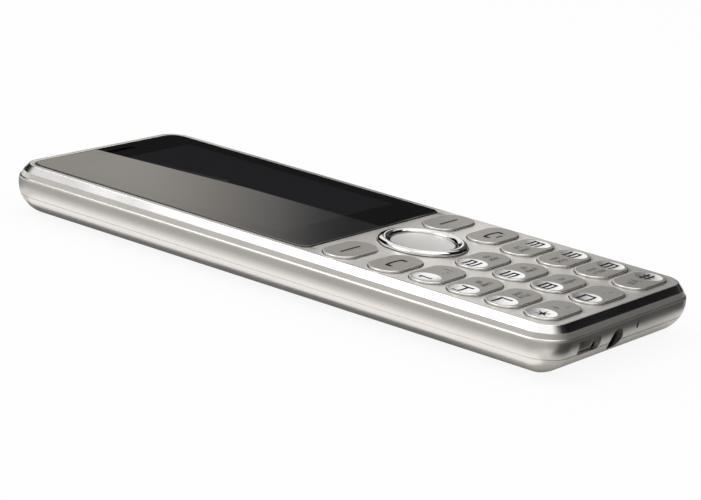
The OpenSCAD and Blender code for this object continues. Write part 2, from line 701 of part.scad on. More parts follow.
module rear_chassis() color(silver) difference() {
    union() {
        swept(chassis_section());
        slab(-bay_in - 0.05, deck_z, deck_top);
        difference() {
            slab(-lip_out, lip_z, deck_top - 0.1);
            slab(-lip_out + 1, lip_z - 1, deck_z);
        }
        difference() {
            translate([0, battery_y, battery_z + 0.6]) box(battery_w + 2 * (battery_gap + bay_wall),
                battery_l + 2 * (battery_gap + bay_wall), deck_top - 0.1 - battery_z - 0.6);
            translate([0, battery_y, 0])
                box(battery_w + 2 * battery_gap, battery_l + 2 * battery_gap, deck_z);
        }
    }
    port_cuts();
    translate([usb_x, mouth_y + usb_l / 2, deck_z - 3]) box(usb_w + 1, usb_l + 1, 5);
    translate([jack_x, mouth_y + jack_l / 2, lip_z - 3]) box(jack_w + 1, jack_l + 1, 9);
    translate([mic_x, mouth_y + 3.2, deck_z - 1]) box(5.2, 6.6, 4);
    translate([0, battery_top_y + battery_gap + contact_l / 2, battery_z]) box(10, contact_l + 0.6, 9);
    for (x = [-1, 1]) translate([x * sim_x, sim_y, deck_z - 1]) box(sim_w + 0.5, sim_l + 0.5, 4);
    for (x = [-1, 1]) translate([x * sim_x, card_y, deck_z - 1]) box(sim_w + 0.5, sim_l + 0.5, 4);
    translate([0, rear_y, deck_z - 1]) box(camera_w + 0.5, camera_w + 0.5, 4);
    translate([flash_x, rear_y, deck_z - 1]) box(led_w + 0.8, led_w + 0.8, 4);
    for (b = BOSSES) translate([b[0], b[1], deck_z - 1]) cylinder(h = 4, r = screw_r + 0.1);
}

module battery() color([0.2, 0.22, 0.26]) {
    r = 1.2;
    translate([0, battery_y, battery_z]) linear_extrude(battery_t) plate(battery_w, battery_l, r);
}

module battery_contacts() color([0.1, 0.1, 0.1]) {
    low = battery_z + 1.2;
    translate([0, battery_top_y + battery_gap + contact_l / 2 + 0.1, low]) difference() {
        box(9, contact_l - 0.2, board_z - seat - low);
        for (x = [-1, 0, 1]) translate([x * 2.6, -contact_l / 2, 0.6]) box(1.2, 1, board_z - low - 1.4);
    }
}

// Stamped card cage with its slot towards the battery
module card_cage(x, y) color(steel) translate([x, y, board_z - seat - sim_t]) difference() {
    box(sim_w, sim_l, sim_t);
    translate([0, -0.6, 0.25]) box(sim_w - 1.6, sim_l + 0.4, sim_t - 0.6);
    translate([0, 1, -1]) box(sim_w - 7, sim_l - 7, 2);
}

module sim_holder_left() card_cage(-sim_x, sim_y);
module sim_holder_right() card_cage(sim_x, sim_y);
module card_holder() card_cage(sim_x, card_y);

module loudspeaker() color([0.12, 0.12, 0.13]) translate([speaker_x, rear_y, speaker_z]) {
    box(speaker_w, speaker_l, speaker_t);
    translate([0, 0, -speaker_lip]) linear_extrude(speaker_lip + eps) plate(speaker_w - 1, speaker_l - 1, 2);
}

slot_l = 8;
slot_w = 0.8;
slot_pitch = 1.7;
SLOTS = [for (i = [-2:2]) [speaker_x, rear_y + i * slot_pitch]];

module speaker_mesh() color([0.2, 0.2, 0.2]) translate([speaker_x, rear_y, cover_wall + seat])
    box(slot_l + 1, slot_pitch * 4 + slot_w + 0.4, 0.15);

module vibration_motor() color(steel) translate([motor_x, rear_y, deck_z - stack_gap - motor_t]) {
    cylinder(h = motor_t, r = motor_r);
    translate([0, 0, 0.3]) box(2 * motor_r + 0.6, 2.4, motor_t - 0.3);
}

// Camera: square base on the board and a stepped round barrel
module camera_module() color([0.08, 0.08, 0.09]) translate([0, rear_y, 0]) {
    low = cover_wall + 1.2;
    translate([0, 0, low + 1.6]) box(camera_w, camera_w, board_z - seat - low - 1.6);
    translate([0, 0, low]) difference() {
        cylinder(h = 1.7, r = camera_w / 2 - 0.6);
        translate([0, 0, -1]) cylinder(h = 1.6, r1 = 2.4, r2 = 1);
    }
}

// Window glued in the stepped hole of the battery cover
module camera_window() color(black) translate([0, rear_y, window_z]) cylinder(h = window_t, r = camera_r);

module flash_led() color([0.95, 0.9, 0.6]) translate([flash_x, rear_y, 0]) {
    translate([0, 0, led_z]) cylinder(h = led_t, r = pipe_r);
    translate([0, 0, led_z + led_lens]) box(led_w, led_w, led_t - led_lens);
}

// Clear light pipe from the flash to the back, held in the cover
module flash_window() color([0.9, 0.9, 0.9]) translate([flash_x, rear_y, window_z]) {
    cylinder(h = window_t, r = flash_r);
    cylinder(h = led_z - pipe_gap - window_z, r = pipe_r);
}

module housing_screws() color(steel) for (b = BOSSES) translate([b[0], b[1], 0]) difference() {
    union() {
        translate([0, 0, deck_z - seat - screw_head_t]) cylinder(h = screw_head_t, r = screw_head_r);
        translate([0, 0, deck_z - seat - 0.1]) cylinder(h = deck_t + screw_bite, r = screw_r);
    }
    translate([0, 0, deck_z - seat - screw_head_t - 1]) {
        box(1.6, 0.4, 1.3);
        box(0.4, 1.6, 1.3);
    }
}

// Section of the cover: round outside, the same curve inside, closed at the seam
COVER_PHI = [for (i = [0:12]) seam_phi + (90 - seam_phi) * i / 12];
function cover_section() = concat(
    [for (p = COVER_PHI) [side_h(p), side_z(p) - (p == seam_phi ? seam_gap / 2 : 0)]],
    [for (i = [12:-1:1]) inner_side(COVER_PHI[i])],
    [[inner_side(COVER_PHI[1])[0] + 0.1, side_z(seam_phi) - seam_gap / 2]]);

module battery_cover() color(silver) difference() {
    union() {
        swept(cover_section());
        translate([0, 0, 0]) box(face_w - 2 * face_r + eps, face_l - 2 * face_r + eps, cover_wall);
    }
    port_cuts();
    translate([0, rear_y, -1]) cylinder(h = 5, r = camera_r - 0.5);
    translate([0, rear_y, -1]) cylinder(h = 1 + window_z + window_t + eps, r = camera_r + 0.06);
    translate([flash_x, rear_y, -1]) cylinder(h = 5, r = pipe_r + 0.1);
    translate([flash_x, rear_y, -1]) cylinder(h = 1 + window_z + window_t + eps, r = flash_r + 0.06);
    for (s = SLOTS) translate([s[0], s[1], -1]) pill(slot_l, slot_w, 4);
    translate([0, body_l / 2 + 0.4, side_z(seam_phi) - 0.5]) rotate([0, 90, 0]) cylinder(h = 9, r = 1.3, center = true);
}

front_housing();
display_lens();
lens_tape();
earpiece_mesh();
earpiece();
lcd_gasket();
lcd_module();
for (k = KEYS) key(k);
nav_film();
nav_ring();
select_key();
key_mat();
dome_sheet();
main_board();
shield_can();
usb_socket();
usb_tongue();
audio_jack();
jack_contacts();
microphone();
mic_boot();
antenna();
rear_chassis();
battery();
battery_contacts();
sim_holder_left();
sim_holder_right();
card_holder();
loudspeaker();
speaker_mesh();
vibration_motor();
camera_module();
camera_window();
flash_led();
flash_window();
housing_screws();
battery_cover();
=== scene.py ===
import math

import bmesh
import bpy
from mathutils import Matrix, Vector


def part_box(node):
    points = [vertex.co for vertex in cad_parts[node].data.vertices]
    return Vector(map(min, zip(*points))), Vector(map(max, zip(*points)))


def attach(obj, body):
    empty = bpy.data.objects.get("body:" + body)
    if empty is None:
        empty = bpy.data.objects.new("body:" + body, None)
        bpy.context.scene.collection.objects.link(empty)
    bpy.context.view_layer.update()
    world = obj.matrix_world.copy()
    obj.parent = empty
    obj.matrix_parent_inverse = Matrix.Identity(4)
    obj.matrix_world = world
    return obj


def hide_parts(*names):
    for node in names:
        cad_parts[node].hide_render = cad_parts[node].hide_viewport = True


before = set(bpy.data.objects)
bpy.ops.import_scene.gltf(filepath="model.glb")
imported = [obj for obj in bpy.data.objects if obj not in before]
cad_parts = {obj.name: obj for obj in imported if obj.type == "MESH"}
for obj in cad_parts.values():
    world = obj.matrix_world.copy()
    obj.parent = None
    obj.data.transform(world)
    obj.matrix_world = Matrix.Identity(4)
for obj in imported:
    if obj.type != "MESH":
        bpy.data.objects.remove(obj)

MM = 0.001
scene = bpy.context.scene
scene.view_settings.view_transform = "Standard"
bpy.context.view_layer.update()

# Camera: a long lens, low over the near left of the bottom end, turned a little about its own axis.
CAMERA_TARGET = Vector((-16.144, -13.334, 10.4)) * MM
CAMERA_TURN = math.radians(-55.696)
CAMERA_RISE = math.radians(15.924)
CAMERA_ROLL = math.radians(6.529)
CAMERA_REACH = 512.373 * MM
CAMERA_FOCUS_MM = 138.46

camera_back = Vector((math.sin(CAMERA_TURN) * math.cos(CAMERA_RISE),
                      -math.cos(CAMERA_TURN) * math.cos(CAMERA_RISE), math.sin(CAMERA_RISE)))
level_side = Vector((0, 0, 1)).cross(camera_back).normalized()
level_up = camera_back.cross(level_side)
camera_side = math.cos(CAMERA_ROLL) * level_side + math.sin(CAMERA_ROLL) * level_up
camera_up = math.cos(CAMERA_ROLL) * level_up - math.sin(CAMERA_ROLL) * level_side
camera_data = bpy.data.cameras.new("camera")
camera_data.sensor_width = 36
camera_data.lens = CAMERA_FOCUS_MM
camera_data.clip_start = 0.01
camera = bpy.data.objects.new("camera", camera_data)
scene.collection.objects.link(camera)
camera.matrix_world = (Matrix.Translation(CAMERA_TARGET + CAMERA_REACH * camera_back)
                       @ Matrix((camera_side, camera_up, camera_back)).transposed().to_4x4())
scene.camera = camera


# Studio: a pale paper floor, a white room, a large soft lamp high on the far left, a weak one on the right.
# Cards that only mirror-like surfaces see stand and lie round the object, as flags do when metal is pictured.
FLOOR_HALF = 6.0
FLOOR_DROP = 0.1 * MM
FLOOR_GLOW = 0.9
ROOM_LIGHT = 0.72
SHARP_EDGE = math.radians(38)
BLACK_CARD, SHADE_CARD, GREY_CARD = 0.004, 0.3, 0.42
LAMPS = {"key_lamp": ((-340, 450, 860), 0.5, 2.2), "top_lamp": ((300, -100, 900), 0.6, 1.2)}


def hex_linear(code):
    """Linear RGBA colour of an sRGB hex code."""
    channels = [int(code[i:i + 2], 16) / 255 for i in (0, 2, 4)]
    return [c / 12.92 if c <= 0.04045 else ((c + 0.055) / 1.055) ** 2.4 for c in channels] + [1.0]


def add(tree, kind, sockets={}, **properties):
    """Adds a node, sets its properties, and sets or links its sockets."""
    node = tree.nodes.new("ShaderNode" + kind)
    for name, value in properties.items():
        setattr(node, name, value)
    for name, value in sockets.items():
        if isinstance(value, bpy.types.NodeSocket):
            tree.links.new(value, node.inputs[name])
        else:
            node.inputs[name].default_value = value
    return node


def new_object(name, bm, *materials):
    """Makes an object of a finished bmesh, smooth but for its sharp edges."""
    mesh = bpy.data.meshes.new(name)
    bm.to_mesh(mesh)
    bm.free()
    mesh.shade_smooth()
    mesh.set_sharp_from_angle(angle=SHARP_EDGE)
    for material in materials:
        mesh.materials.append(material)
    made = bpy.data.objects.new(name, mesh)
    scene.collection.objects.link(made)
    return made


def mirror_card(name, corners, level, fade=None, tone="FFFFFF"):
    """Flat card of one level and tone that only glossy surfaces see. It may fade out along an axis."""
    material = bpy.data.materials.new(name)
    material.use_nodes = True
    material.cycles.emission_sampling = "NONE"
    tree = material.node_tree
    shown = add(tree, "Emission", {"Color": hex_linear(tone), "Strength": level}).outputs[0]
    if fade:
        axis, solid, clear = fade
        apart = add(tree, "SeparateXYZ", {"Vector": add(tree, "TexCoord").outputs["Object"]})
        share = add(tree, "MapRange", {"Value": apart.outputs[axis], "From Min": solid * MM,
                                       "From Max": clear * MM}, interpolation_type="SMOOTHSTEP")
        gone = add(tree, "BsdfTransparent")
        shown = add(tree, "MixShader", {0: share.outputs["Result"], 1: shown, 2: gone.outputs[0]}).outputs[0]
    tree.links.new(shown, tree.nodes["Material Output"].inputs["Surface"])
    bm = bmesh.new()
    bm.faces.new([bm.verts.new(Vector(corner) * MM) for corner in corners])
    card = new_object(name, bm, material)
    card.visible_camera = False
    card.visible_diffuse = False
    card.visible_shadow = False


world = bpy.data.worlds.new("white_room")
world.use_nodes = True
scene.world = world
tree = world.node_tree
path = add(tree, "LightPath")
seen = add(tree, "Math", {0: path.outputs["Is Camera Ray"], 1: path.outputs["Is Glossy Ray"]},
           operation="MAXIMUM")
seen = add(tree, "Math", {0: seen.outputs[0], 1: path.outputs["Is Transmission Ray"]}, operation="MAXIMUM")
level = add(tree, "MapRange", {"Value": seen.outputs[0], "To Min": ROOM_LIGHT, "To Max": 1.0})
tree.links.new(level.outputs["Result"], tree.nodes["Background"].inputs["Strength"])
tree.nodes["Background"].inputs["Color"].default_value = (1, 1, 1, 1)

# Matt white paper: nearly white to the camera, with the object's soft shadow still on it.
floor_white = bpy.data.materials.new("floor_paper")
floor_white.use_nodes = True
tree = floor_white.node_tree
paper = add(tree, "BsdfDiffuse", {"Color": hex_linear("F4F4F2")})
glow = add(tree, "Emission", {"Color": (1, 1, 1, 1), "Strength": 1.0})
path = add(tree, "LightPath")
share = add(tree, "MapRange", {"Value": path.outputs["Is Camera Ray"], "To Min": 0.0, "To Max": FLOOR_GLOW})
blend = add(tree, "MixShader", {0: share.outputs["Result"], 1: paper.outputs[0], 2: glow.outputs[0]})
tree.links.new(blend.outputs[0], tree.nodes["Material Output"].inputs["Surface"])
bm = bmesh.new()
bmesh.ops.create_grid(bm, x_segments=1, y_segments=1, size=FLOOR_HALF)
bmesh.ops.translate(bm, verts=bm.verts, vec=(0, 0, -FLOOR_DROP))
floor = new_object("floor", bm, floor_white)

# Black cards on the right: the lens mirrors them as its dark part, and their top as a bright panel's edge.
mirror_card("low_card", [(300, 190, 0), (300, 460, 0), (300, 460, 117), (300, 190, 107.2)], BLACK_CARD)
mirror_card("near_card", [(60, 14, 0), (60, 75, 0), (60, 75, 30), (60, 27, 29.5), (60, 22, 25.5),
                          (60, 14, 23.6)], BLACK_CARD)
# Cards over that edge: they dim the bright panel towards its near end and warm the rest of it.
mirror_card("lens_fade", [(298, 182, 105), (298, 250, 108), (298, 250, 122), (298, 182, 122)], 0.05,
            ("Y", 194, 236))
mirror_card("lens_card", [(299, 190, 106), (299, 350, 112), (299, 350, 130), (299, 190, 130)], 0.15,
            ("Y", 198, 305))
mirror_card("panel_card", [(301, 190, 104), (301, 430, 104), (301, 430, 145), (301, 190, 145)], 0.88,
            tone="FFF8EE")
# Cards beyond the bottom end: its bevel and sides go from black to grey, and brighten round the near corner.
mirror_card("tall_card", [(330, -300, 0), (330, 170, 0), (330, 170, 520), (330, -300, 520)], BLACK_CARD,
            ("Y", -60, 55))
mirror_card("end_card", [(329, -300, 0), (329, -120, 0), (329, -120, 102), (329, -200, 118),
                         (329, -300, 135)], 0.14)
mirror_card("turn_card", [(-330, -737, 0), (324, -298, 0), (324, -298, 145), (270, -334, 235),
                          (165, -405, 305), (30, -495, 420), (-330, -737, 720)], GREY_CARD)
mirror_card("turn_fade", [(-330, -731, 0), (324, -292, 0), (324, -292, 145), (270, -328, 235),
                          (165, -399, 305), (30, -489, 420), (-330, -731, 720)], 0.15, ("X", 290, -160))
mirror_card("side_card", [(-900, 100, 230), (-330, -737, 230), (-330, -737, 720), (-900, 100, 640)],
            GREY_CARD)
# A far wall on the right, and black cards before and behind: they give the ring and the key edges dark lines.
mirror_card("wall_card", [(2560, 1800, 0), (2950, -520, 0), (2950, -520, 2000), (2560, 1800, 2000)], 0.08,
            ("Y", 1250, 1555))
mirror_card("front_card", [(330, -300, 0), (-250, -690, 0), (-250, -690, 800), (330, -300, 800)], BLACK_CARD,
            ("X", 230, -140))
mirror_card("far_card", [(300, 460, 0), (300, 460, 420), (-300, 420, 420), (-300, 420, 300),
                         (-78, 434.8, 155), (28, 441.9, 85), (100, 446.7, 42), (200, 453.3, 0)], BLACK_CARD,
            ("X", -30, -170))
# Grey cards on the left: the band is grey under the bright bevel, which dims towards the top end.
mirror_card("left_card", [(-900, 100, 230), (-100, 900, 230), (-100, 900, 600), (-900, 100, 600)], GREY_CARD,
            ("Z", 300, 640))
mirror_card("bevel_card", [(-540, 455, 470), (-100, 895, 470), (-100, 895, 1100), (-540, 455, 1100)], 0.62,
            ("X", -385, -530))
# Strips on the floor: the hollow sides mirror the shade further out, and their round edge the pale floor.
mirror_card("left_strip", [(-150, -200, 0), (-31, -75, 0), (-31, 90, 0), (-150, 200, 0)], GREY_CARD,
            ("X", -42, -31))
mirror_card("left_edge", [(-31, -64, 0.01), (-24.7, -64, 0.01), (-24.7, 64, 0.01), (-31, 64, 0.01)], 1.2)
mirror_card("right_strip", [(150, -100, 0), (30, -70, 0), (30, 90, 0), (150, 200, 0)], SHADE_CARD,
            ("X", 42, 30))
mirror_card("back_strip", [(-110, 200, 0), (-40, 70, 0), (40, 70, 0), (110, 200, 0)], SHADE_CARD,
            ("Y", 82, 70))
mirror_card("front_strip", [(-18, -300, 0), (-26.5, -67, 0), (30, -67, 0), (30.5, -70.2, 0), (150, -100.2, 0),
                            (329, -100.2, 0), (329, -300, 0)], 0.02, ("Y", -74, -67))
mirror_card("corner_strip", [(-31, -70, 0.02), (-26, -70, 0.02), (-17, -300, 0.02), (-150, -300, 0.02),
                             (-150, -199, 0.02)], SHADE_CARD, ("Y", -84, -72))
# Dark card under the object: a painted contact shadow, which the round lower edges mirror below the sides.
mirror_card("contact_shadow_card", [(-25, -64.6, 0), (25, -64.6, 0), (25, 64.6, 0), (-25, 64.6, 0)], 0.16,
            ("Y", -35, -66))

for name, (spot, reach, watts) in LAMPS.items():
    lamp_data = bpy.data.lights.new(name, "AREA")
    lamp_data.size = reach
    lamp_data.energy = watts
    lamp = bpy.data.objects.new(name, lamp_data)
    scene.collection.objects.link(lamp)
    lamp.location = Vector(spot) * MM
    lamp.rotation_euler = (-lamp.location).to_track_quat("-Z", "Y").to_euler()


# Front housing: the moulded face with its key field and lens pocket, a bright bevel round it, a band below.
# It is injection-moulded ABS, sprayed silver and then cut bright along the bevel. Thin collars stand round
# the key holes, and screws hold it to the chassis.
FACE_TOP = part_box("display_lens")[1].z
SIDE_OUT = 1.9 * MM
FACE_R = 4.5 * MM
FACE_STEPS, LOOP_STEPS = 24, 14
BEVEL_OUT, BEVEL_DROP = 1.1 * MM, 1.35 * MM
BEVEL_LEAST, BEVEL_MOST = 0.5, 0.8
BAND_OUT, BAND_DROP = 0.4 * MM, 0.95 * MM
CAVITY_IN = 0.5 * MM
EDGE_SOFT = 0.12 * MM
LEAST_R = 0.8 * MM
LENS_GAP = 0.15 * MM
LENS_R_TOP, LENS_R_LOW = 3.0 * MM, 2.0 * MM
POCKET_SOFT, POCKET_SOFT_DROP, POCKET_DEEPER = 0.08 * MM, 0.06 * MM, 0.1 * MM
WINDOW_IN, WINDOW_R = 1.1 * MM, 0.3 * MM
KEY_GAP, KEY_FLANGE = 0.2 * MM, 0.33 * MM
RING_FLANGE = 0.3 * MM
COLLAR_RISE, COLLAR_STEPS = 0.03 * MM, 6
HOLE_GAP = 0.12 * MM
WEB_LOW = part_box("key_1")[0].z + 0.45 * MM
SIDE_KEYS = ("key_soft_left", "key_soft_right", "key_call", "key_end")
NUMBER_KEYS = ("key_1", "key_2", "key_3", "key_4", "key_5", "key_6", "key_7", "key_8", "key_9",
               "key_star", "key_0", "key_hash")
ROW_SPACE, COLUMN_SPACE = 1.22 * MM, 2.16 * MM
SIDE_CELL = 0.9 * MM
CELL_GAP = 0.01 * MM
FLECK_DEEP, FLECK_PALE = 0.3, 0.7
RELIEF_SHARE = 0.5
CLOUD_MM = 9

body_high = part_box("rear_chassis")[1]
face_half = Vector((body_high.x - SIDE_OUT, body_high.y - SIDE_OUT))


def plan(node):
    """Middle and half sizes of a node, seen from the front."""
    low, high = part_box(node)
    return ((low + high) / 2).xy, ((high - low) / 2).xy


def grown(half, out):
    """Half sizes that are larger all round."""
    return Vector(half) + Vector((out, out))


def round_row(spot, half, radii, z, steps=LOOP_STEPS):
    """Points of a rounded rectangle: the quarters of a circle, moved to its corners."""
    row = []
    for i in range(4 * steps):
        angle = (i + 0.5) * math.pi / (2 * steps)
        turn = Vector((math.cos(angle), math.sin(angle)))
        radius = radii[0] if turn.y > 0 else radii[1]
        corner = Vector((math.copysign(half[0] - radius, turn.x), math.copysign(half[1] - radius, turn.y)))
        row.append((*(Vector(spot) + corner + radius * turn), z))
    return row


def skin(bm, rows):
    """Draws a circle out to the first row, extrudes it from row to row, and gives the edges of both rims."""
    verts = bmesh.ops.create_circle(bm, segments=len(rows[0]))["verts"]
    rims = []
    for row in rows:
        if rims:
            made = bmesh.ops.extrude_edge_only(bm, edges=rims[-1])["geom"]
            new = {item for item in made if isinstance(item, bmesh.types.BMVert)}
            verts = [next(edge.other_vert(vert) for edge in vert.link_edges if edge.other_vert(vert) in new)
                     for vert in verts]
        for vert, place in zip(verts, row):
            vert.co = place
        rims.append([bm.edges.get(pair) for pair in zip(verts, verts[1:] + verts[:1])])
    return rims[0], rims[-1]


def soften(points, reach, steps=3):
    """Rounds the corners of an open profile, each by a short curve that starts this far from it."""
    points = [Vector(point) for point in points]
    soft = [points[0]]
    for before, corner, after in zip(points, points[1:], points[2:]):
        start = corner + (before - corner).normalized() * min(reach, (before - corner).length / 2)
        end = corner + (after - corner).normalized() * min(reach, (after - corner).length / 2)
        for i in range(steps + 1):
            t = i / steps
            soft.append(start.lerp(corner, t).lerp(corner.lerp(end, t), t))
    return soft + [points[-1]]


def key_plan(node):
    """Middle and half sizes of a key's top outline, without its flange."""
    spot, half = plan(node)
    return spot, grown(half, -KEY_GAP - KEY_FLANGE)


def close(bm):
    """Merges doubles and turns the faces of a closed mesh outwards."""
    bmesh.ops.remove_doubles(bm, verts=bm.verts, dist=1e-7)
    bmesh.ops.recalc_face_normals(bm, faces=bm.faces)
    if bm.calc_volume(signed=True) < 0:
        bmesh.ops.reverse_faces(bm, faces=bm.faces)


def face_row(out, z):
    """Outline of the front face, grown outwards."""
    return round_row((0, 0), grown(face_half, out), (max(FACE_R + out, LEAST_R),) * 2, z, FACE_STEPS)


def flecked_finish(name, pale, deep, fleck_mm, metallic, roughness, relief_mm, sway=0.03, ior=1.5, shine=0.5):
    """Surface of two close tones in fine flecks with a little relief and a gloss that drifts over some mm."""
    material = bpy.data.materials.new(name)
    material.use_nodes = True
    tree = material.node_tree
    shader = tree.nodes["Principled BSDF"]
    place = add(tree, "TexCoord").outputs["Object"]
    fleck = add(tree, "TexNoise", {"Vector": place, "Scale": 1 / (fleck_mm * MM), "Detail": 2.0})
    tint = add(tree, "ValToRGB", {"Fac": fleck.outputs["Fac"]})
    for element, position, tone in zip(tint.color_ramp.elements, (FLECK_DEEP, FLECK_PALE), (deep, pale)):
        element.position = position
        element.color = hex_linear(tone)
    tree.links.new(tint.outputs["Color"], shader.inputs["Base Color"])
    bump = add(tree, "Bump", {"Height": fleck.outputs["Fac"], "Strength": RELIEF_SHARE,
                              "Distance": relief_mm * MM})
    tree.links.new(bump.outputs["Normal"], shader.inputs["Normal"])
    shader.inputs["Metallic"].default_value = metallic
    shader.inputs["IOR"].default_value = ior
    shader.inputs["Specular IOR Level"].default_value = shine
    shader.inputs["Roughness"].default_value = roughness
    if sway:
        cloud = add(tree, "TexNoise", {"Vector": place, "Scale": 1 / (CLOUD_MM * MM), "Detail": 3.0})
        gloss = add(tree, "MapRange", {"Value": cloud.outputs["Fac"], "From Min": FLECK_DEEP,
                                       "From Max": FLECK_PALE, "To Min": roughness - sway,
                                       "To Max": roughness + sway})
        tree.links.new(gloss.outputs["Result"], shader.inputs["Roughness"])
    return material


# Silver lacquer: aluminium flake under a clear coat, a soft metal sheen with light and shade but no picture.
# Flakes are about 0.03 mm: they are drawn at 0.12 mm so that a render this size shows them at all.
silver_lacquer = flecked_finish("silver_lacquer", "DEDAD4", "D8D4CE", 0.12, 0.95, 0.31, 0.0004)
# Diamond-cut bevel: brighter and smoother than the lacquer, so it is one clear line of light round the face.
cut_bevel = flecked_finish("diamond_cut_bevel", "FEFDFB", "F6F5F2", 0.12, 1.0, 0.18, 0.0005)

bm = bmesh.new()
rim = soften([(-CAVITY_IN, FACE_TOP), (0, FACE_TOP), (BEVEL_OUT, FACE_TOP - BEVEL_DROP),
              (BEVEL_OUT + BAND_OUT, FACE_TOP - BEVEL_DROP - BAND_DROP)], EDGE_SOFT)
rim += [(-CAVITY_IN, FACE_TOP - BEVEL_DROP - BAND_DROP), (-CAVITY_IN, WEB_LOW)]
face_edges, under_edges = skin(bm, [face_row(out, z) for out, z in rim])

lens_low, lens_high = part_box("display_lens")
lens_spot, lens_half = plan("display_lens")
gasket_spot, gasket_half = plan("lcd_gasket")
pocket_z = lens_low.z - POCKET_DEEPER
pocket = [(LENS_GAP + POCKET_SOFT, FACE_TOP), (LENS_GAP, FACE_TOP - POCKET_SOFT_DROP), (LENS_GAP, pocket_z)]
pocket_rows = [round_row(lens_spot, grown(lens_half, out), (LENS_R_TOP + out, LENS_R_LOW + out), z)
               for out, z in pocket]
pocket_rows += [round_row(gasket_spot, grown(gasket_half, -WINDOW_IN), (WINDOW_R,) * 2, z)
                for z in (pocket_z, WEB_LOW)]
rims = skin(bm, pocket_rows)
face_edges += rims[0]
under_edges += rims[1]

nav_low, nav_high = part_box("nav_ring")
nav_spot, nav_half = plan("nav_ring")
nav_r = nav_half.x - KEY_GAP - RING_FLANGE
side_cell = Vector((SIDE_CELL, SIDE_CELL))
number_cell = Vector((COLUMN_SPACE / 2 - CELL_GAP, ROW_SPACE / 2 - CELL_GAP))
holes = [(nav_spot, Vector((nav_r, nav_r)), side_cell)]
holes += [(*key_plan(node), side_cell) for node in SIDE_KEYS]
holes += [(*key_plan(node), number_cell) for node in NUMBER_KEYS]
for spot, half, cell in holes:
    rows = []
    for i in range(COLLAR_STEPS + 1):
        share = 1 - i / COLLAR_STEPS
        reach = half + Vector((HOLE_GAP, HOLE_GAP)).lerp(cell, share)
        rows.append(round_row(spot, reach, (reach.y,) * 2, FACE_TOP + COLLAR_RISE * (1 - share) ** 1.5))
    hole = grown(half, HOLE_GAP)
    rows.append(round_row(spot, hole, (hole.y,) * 2, WEB_LOW))
    rims = skin(bm, rows)
    face_edges += rims[0]
    under_edges += rims[1]
bmesh.ops.triangle_fill(bm, edges=face_edges, use_beauty=True)
bmesh.ops.triangle_fill(bm, edges=under_edges, use_beauty=True)
close(bm)
for face in bm.faces:
    middle = face.calc_center_median()
    if BEVEL_LEAST < abs(face.normal.z) < BEVEL_MOST and middle.z > FACE_TOP - BEVEL_DROP - EDGE_SOFT:
        if max(abs(middle.x) - face_half.x, abs(middle.y) - face_half.y) > -FACE_R / 3:
            face.material_index = 1
front_housing = new_object("front_shell", bm, silver_lacquer, cut_bevel)
front_housing.modifiers.new("even_normals", "WEIGHTED_NORMAL").keep_sharp = True
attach(front_housing, "phone_body")
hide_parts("front_housing")


# Display lens: one plate of hard-coated acrylic with a black print behind its border and an earpiece slot.
# It is cut and polished at the edge, stands a little proud, and tape holds it in its pocket. The display is
# off. A plug of black acoustic mesh fills the slot.
SLOT_HALF = Vector((6.0, 0.6)) * MM
SLOT_DROP = 3.1 * MM
LENS_EDGE, LENS_EDGE_STEPS = 0.2 * MM, 6
LENS_RISE = 0.16 * MM
LENS_IOR = 1.68
VIEW_IN, VIEW_SOFT = 1.9 * MM, 0.05 * MM
SMEAR_MM = 14
SMEAR_LEAST, SMEAR_MOST = 0.002, 0.012
PLUG_GAP, PLUG_SINK = 0.02 * MM, 0.01 * MM

# Coated acrylic over black: black from above, a mirror at a low angle, with faint smears about 14 mm wide.
# The hard coat lifts the index over bare acrylic's, and the display is a slightly paler field in the print.
lens_glass = bpy.data.materials.new("coated_acrylic")
lens_glass.use_nodes = True
tree = lens_glass.node_tree
shader = tree.nodes["Principled BSDF"]
place = add(tree, "TexCoord").outputs["Object"]
centred = add(tree, "Mapping", {"Vector": place, "Location": (-gasket_spot.x, -gasket_spot.y, 0)})
apart = add(tree, "SeparateXYZ", {"Vector": centred.outputs["Vector"]})
inside = []
for axis, half in zip("XY", grown(gasket_half, -VIEW_IN)):
    span = add(tree, "Math", {0: apart.outputs[axis]}, operation="ABSOLUTE")
    inside.append(add(tree, "MapRange", {"Value": span.outputs[0], "From Min": half - VIEW_SOFT,
                                         "From Max": half + VIEW_SOFT, "To Min": 1.0, "To Max": 0.0}))
shown = add(tree, "Math", {0: inside[0].outputs["Result"], 1: inside[1].outputs["Result"]},
            operation="MULTIPLY")
tone = add(tree, "Mix", {"Factor": shown.outputs[0], "A": hex_linear("1C1C1D"), "B": hex_linear("272729")},
           data_type="RGBA")
tree.links.new(tone.outputs["Result"], shader.inputs["Base Color"])
smear = add(tree, "TexNoise", {"Vector": place, "Scale": 1 / (SMEAR_MM * MM), "Detail": 4.0})
gloss = add(tree, "MapRange", {"Value": smear.outputs["Fac"], "To Min": SMEAR_LEAST,
                               "To Max": SMEAR_MOST})
tree.links.new(gloss.outputs["Result"], shader.inputs["Roughness"])
shader.inputs["IOR"].default_value = LENS_IOR
shader.inputs["Specular Tint"].default_value = (1.0, 0.97, 0.93, 1.0)

bm = bmesh.new()
lens_top = lens_high.z + LENS_RISE
edge = soften([(0, lens_low.z), (0, lens_top), (-2 * LENS_EDGE, lens_top)], LENS_EDGE, LENS_EDGE_STEPS)
back_rim, front_rim = skin(bm, [round_row(lens_spot, grown(lens_half, out),
                                          (LENS_R_TOP + out, LENS_R_LOW + out), z) for out, z in edge])
slot_spot = Vector((0, lens_high.y - SLOT_DROP))
slot_front, slot_back = skin(bm, [round_row(slot_spot, SLOT_HALF, (SLOT_HALF.y,) * 2, z)
                                  for z in (lens_top, lens_low.z)])
bmesh.ops.triangle_fill(bm, edges=front_rim + slot_front, use_beauty=True)
bmesh.ops.triangle_fill(bm, edges=back_rim + slot_back, use_beauty=True)
close(bm)
lens = new_object("lens_plate", bm, lens_glass)
lens.modifiers.new("even_normals", "WEIGHTED_NORMAL").keep_sharp = True
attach(lens, "phone_body")
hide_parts("display_lens")

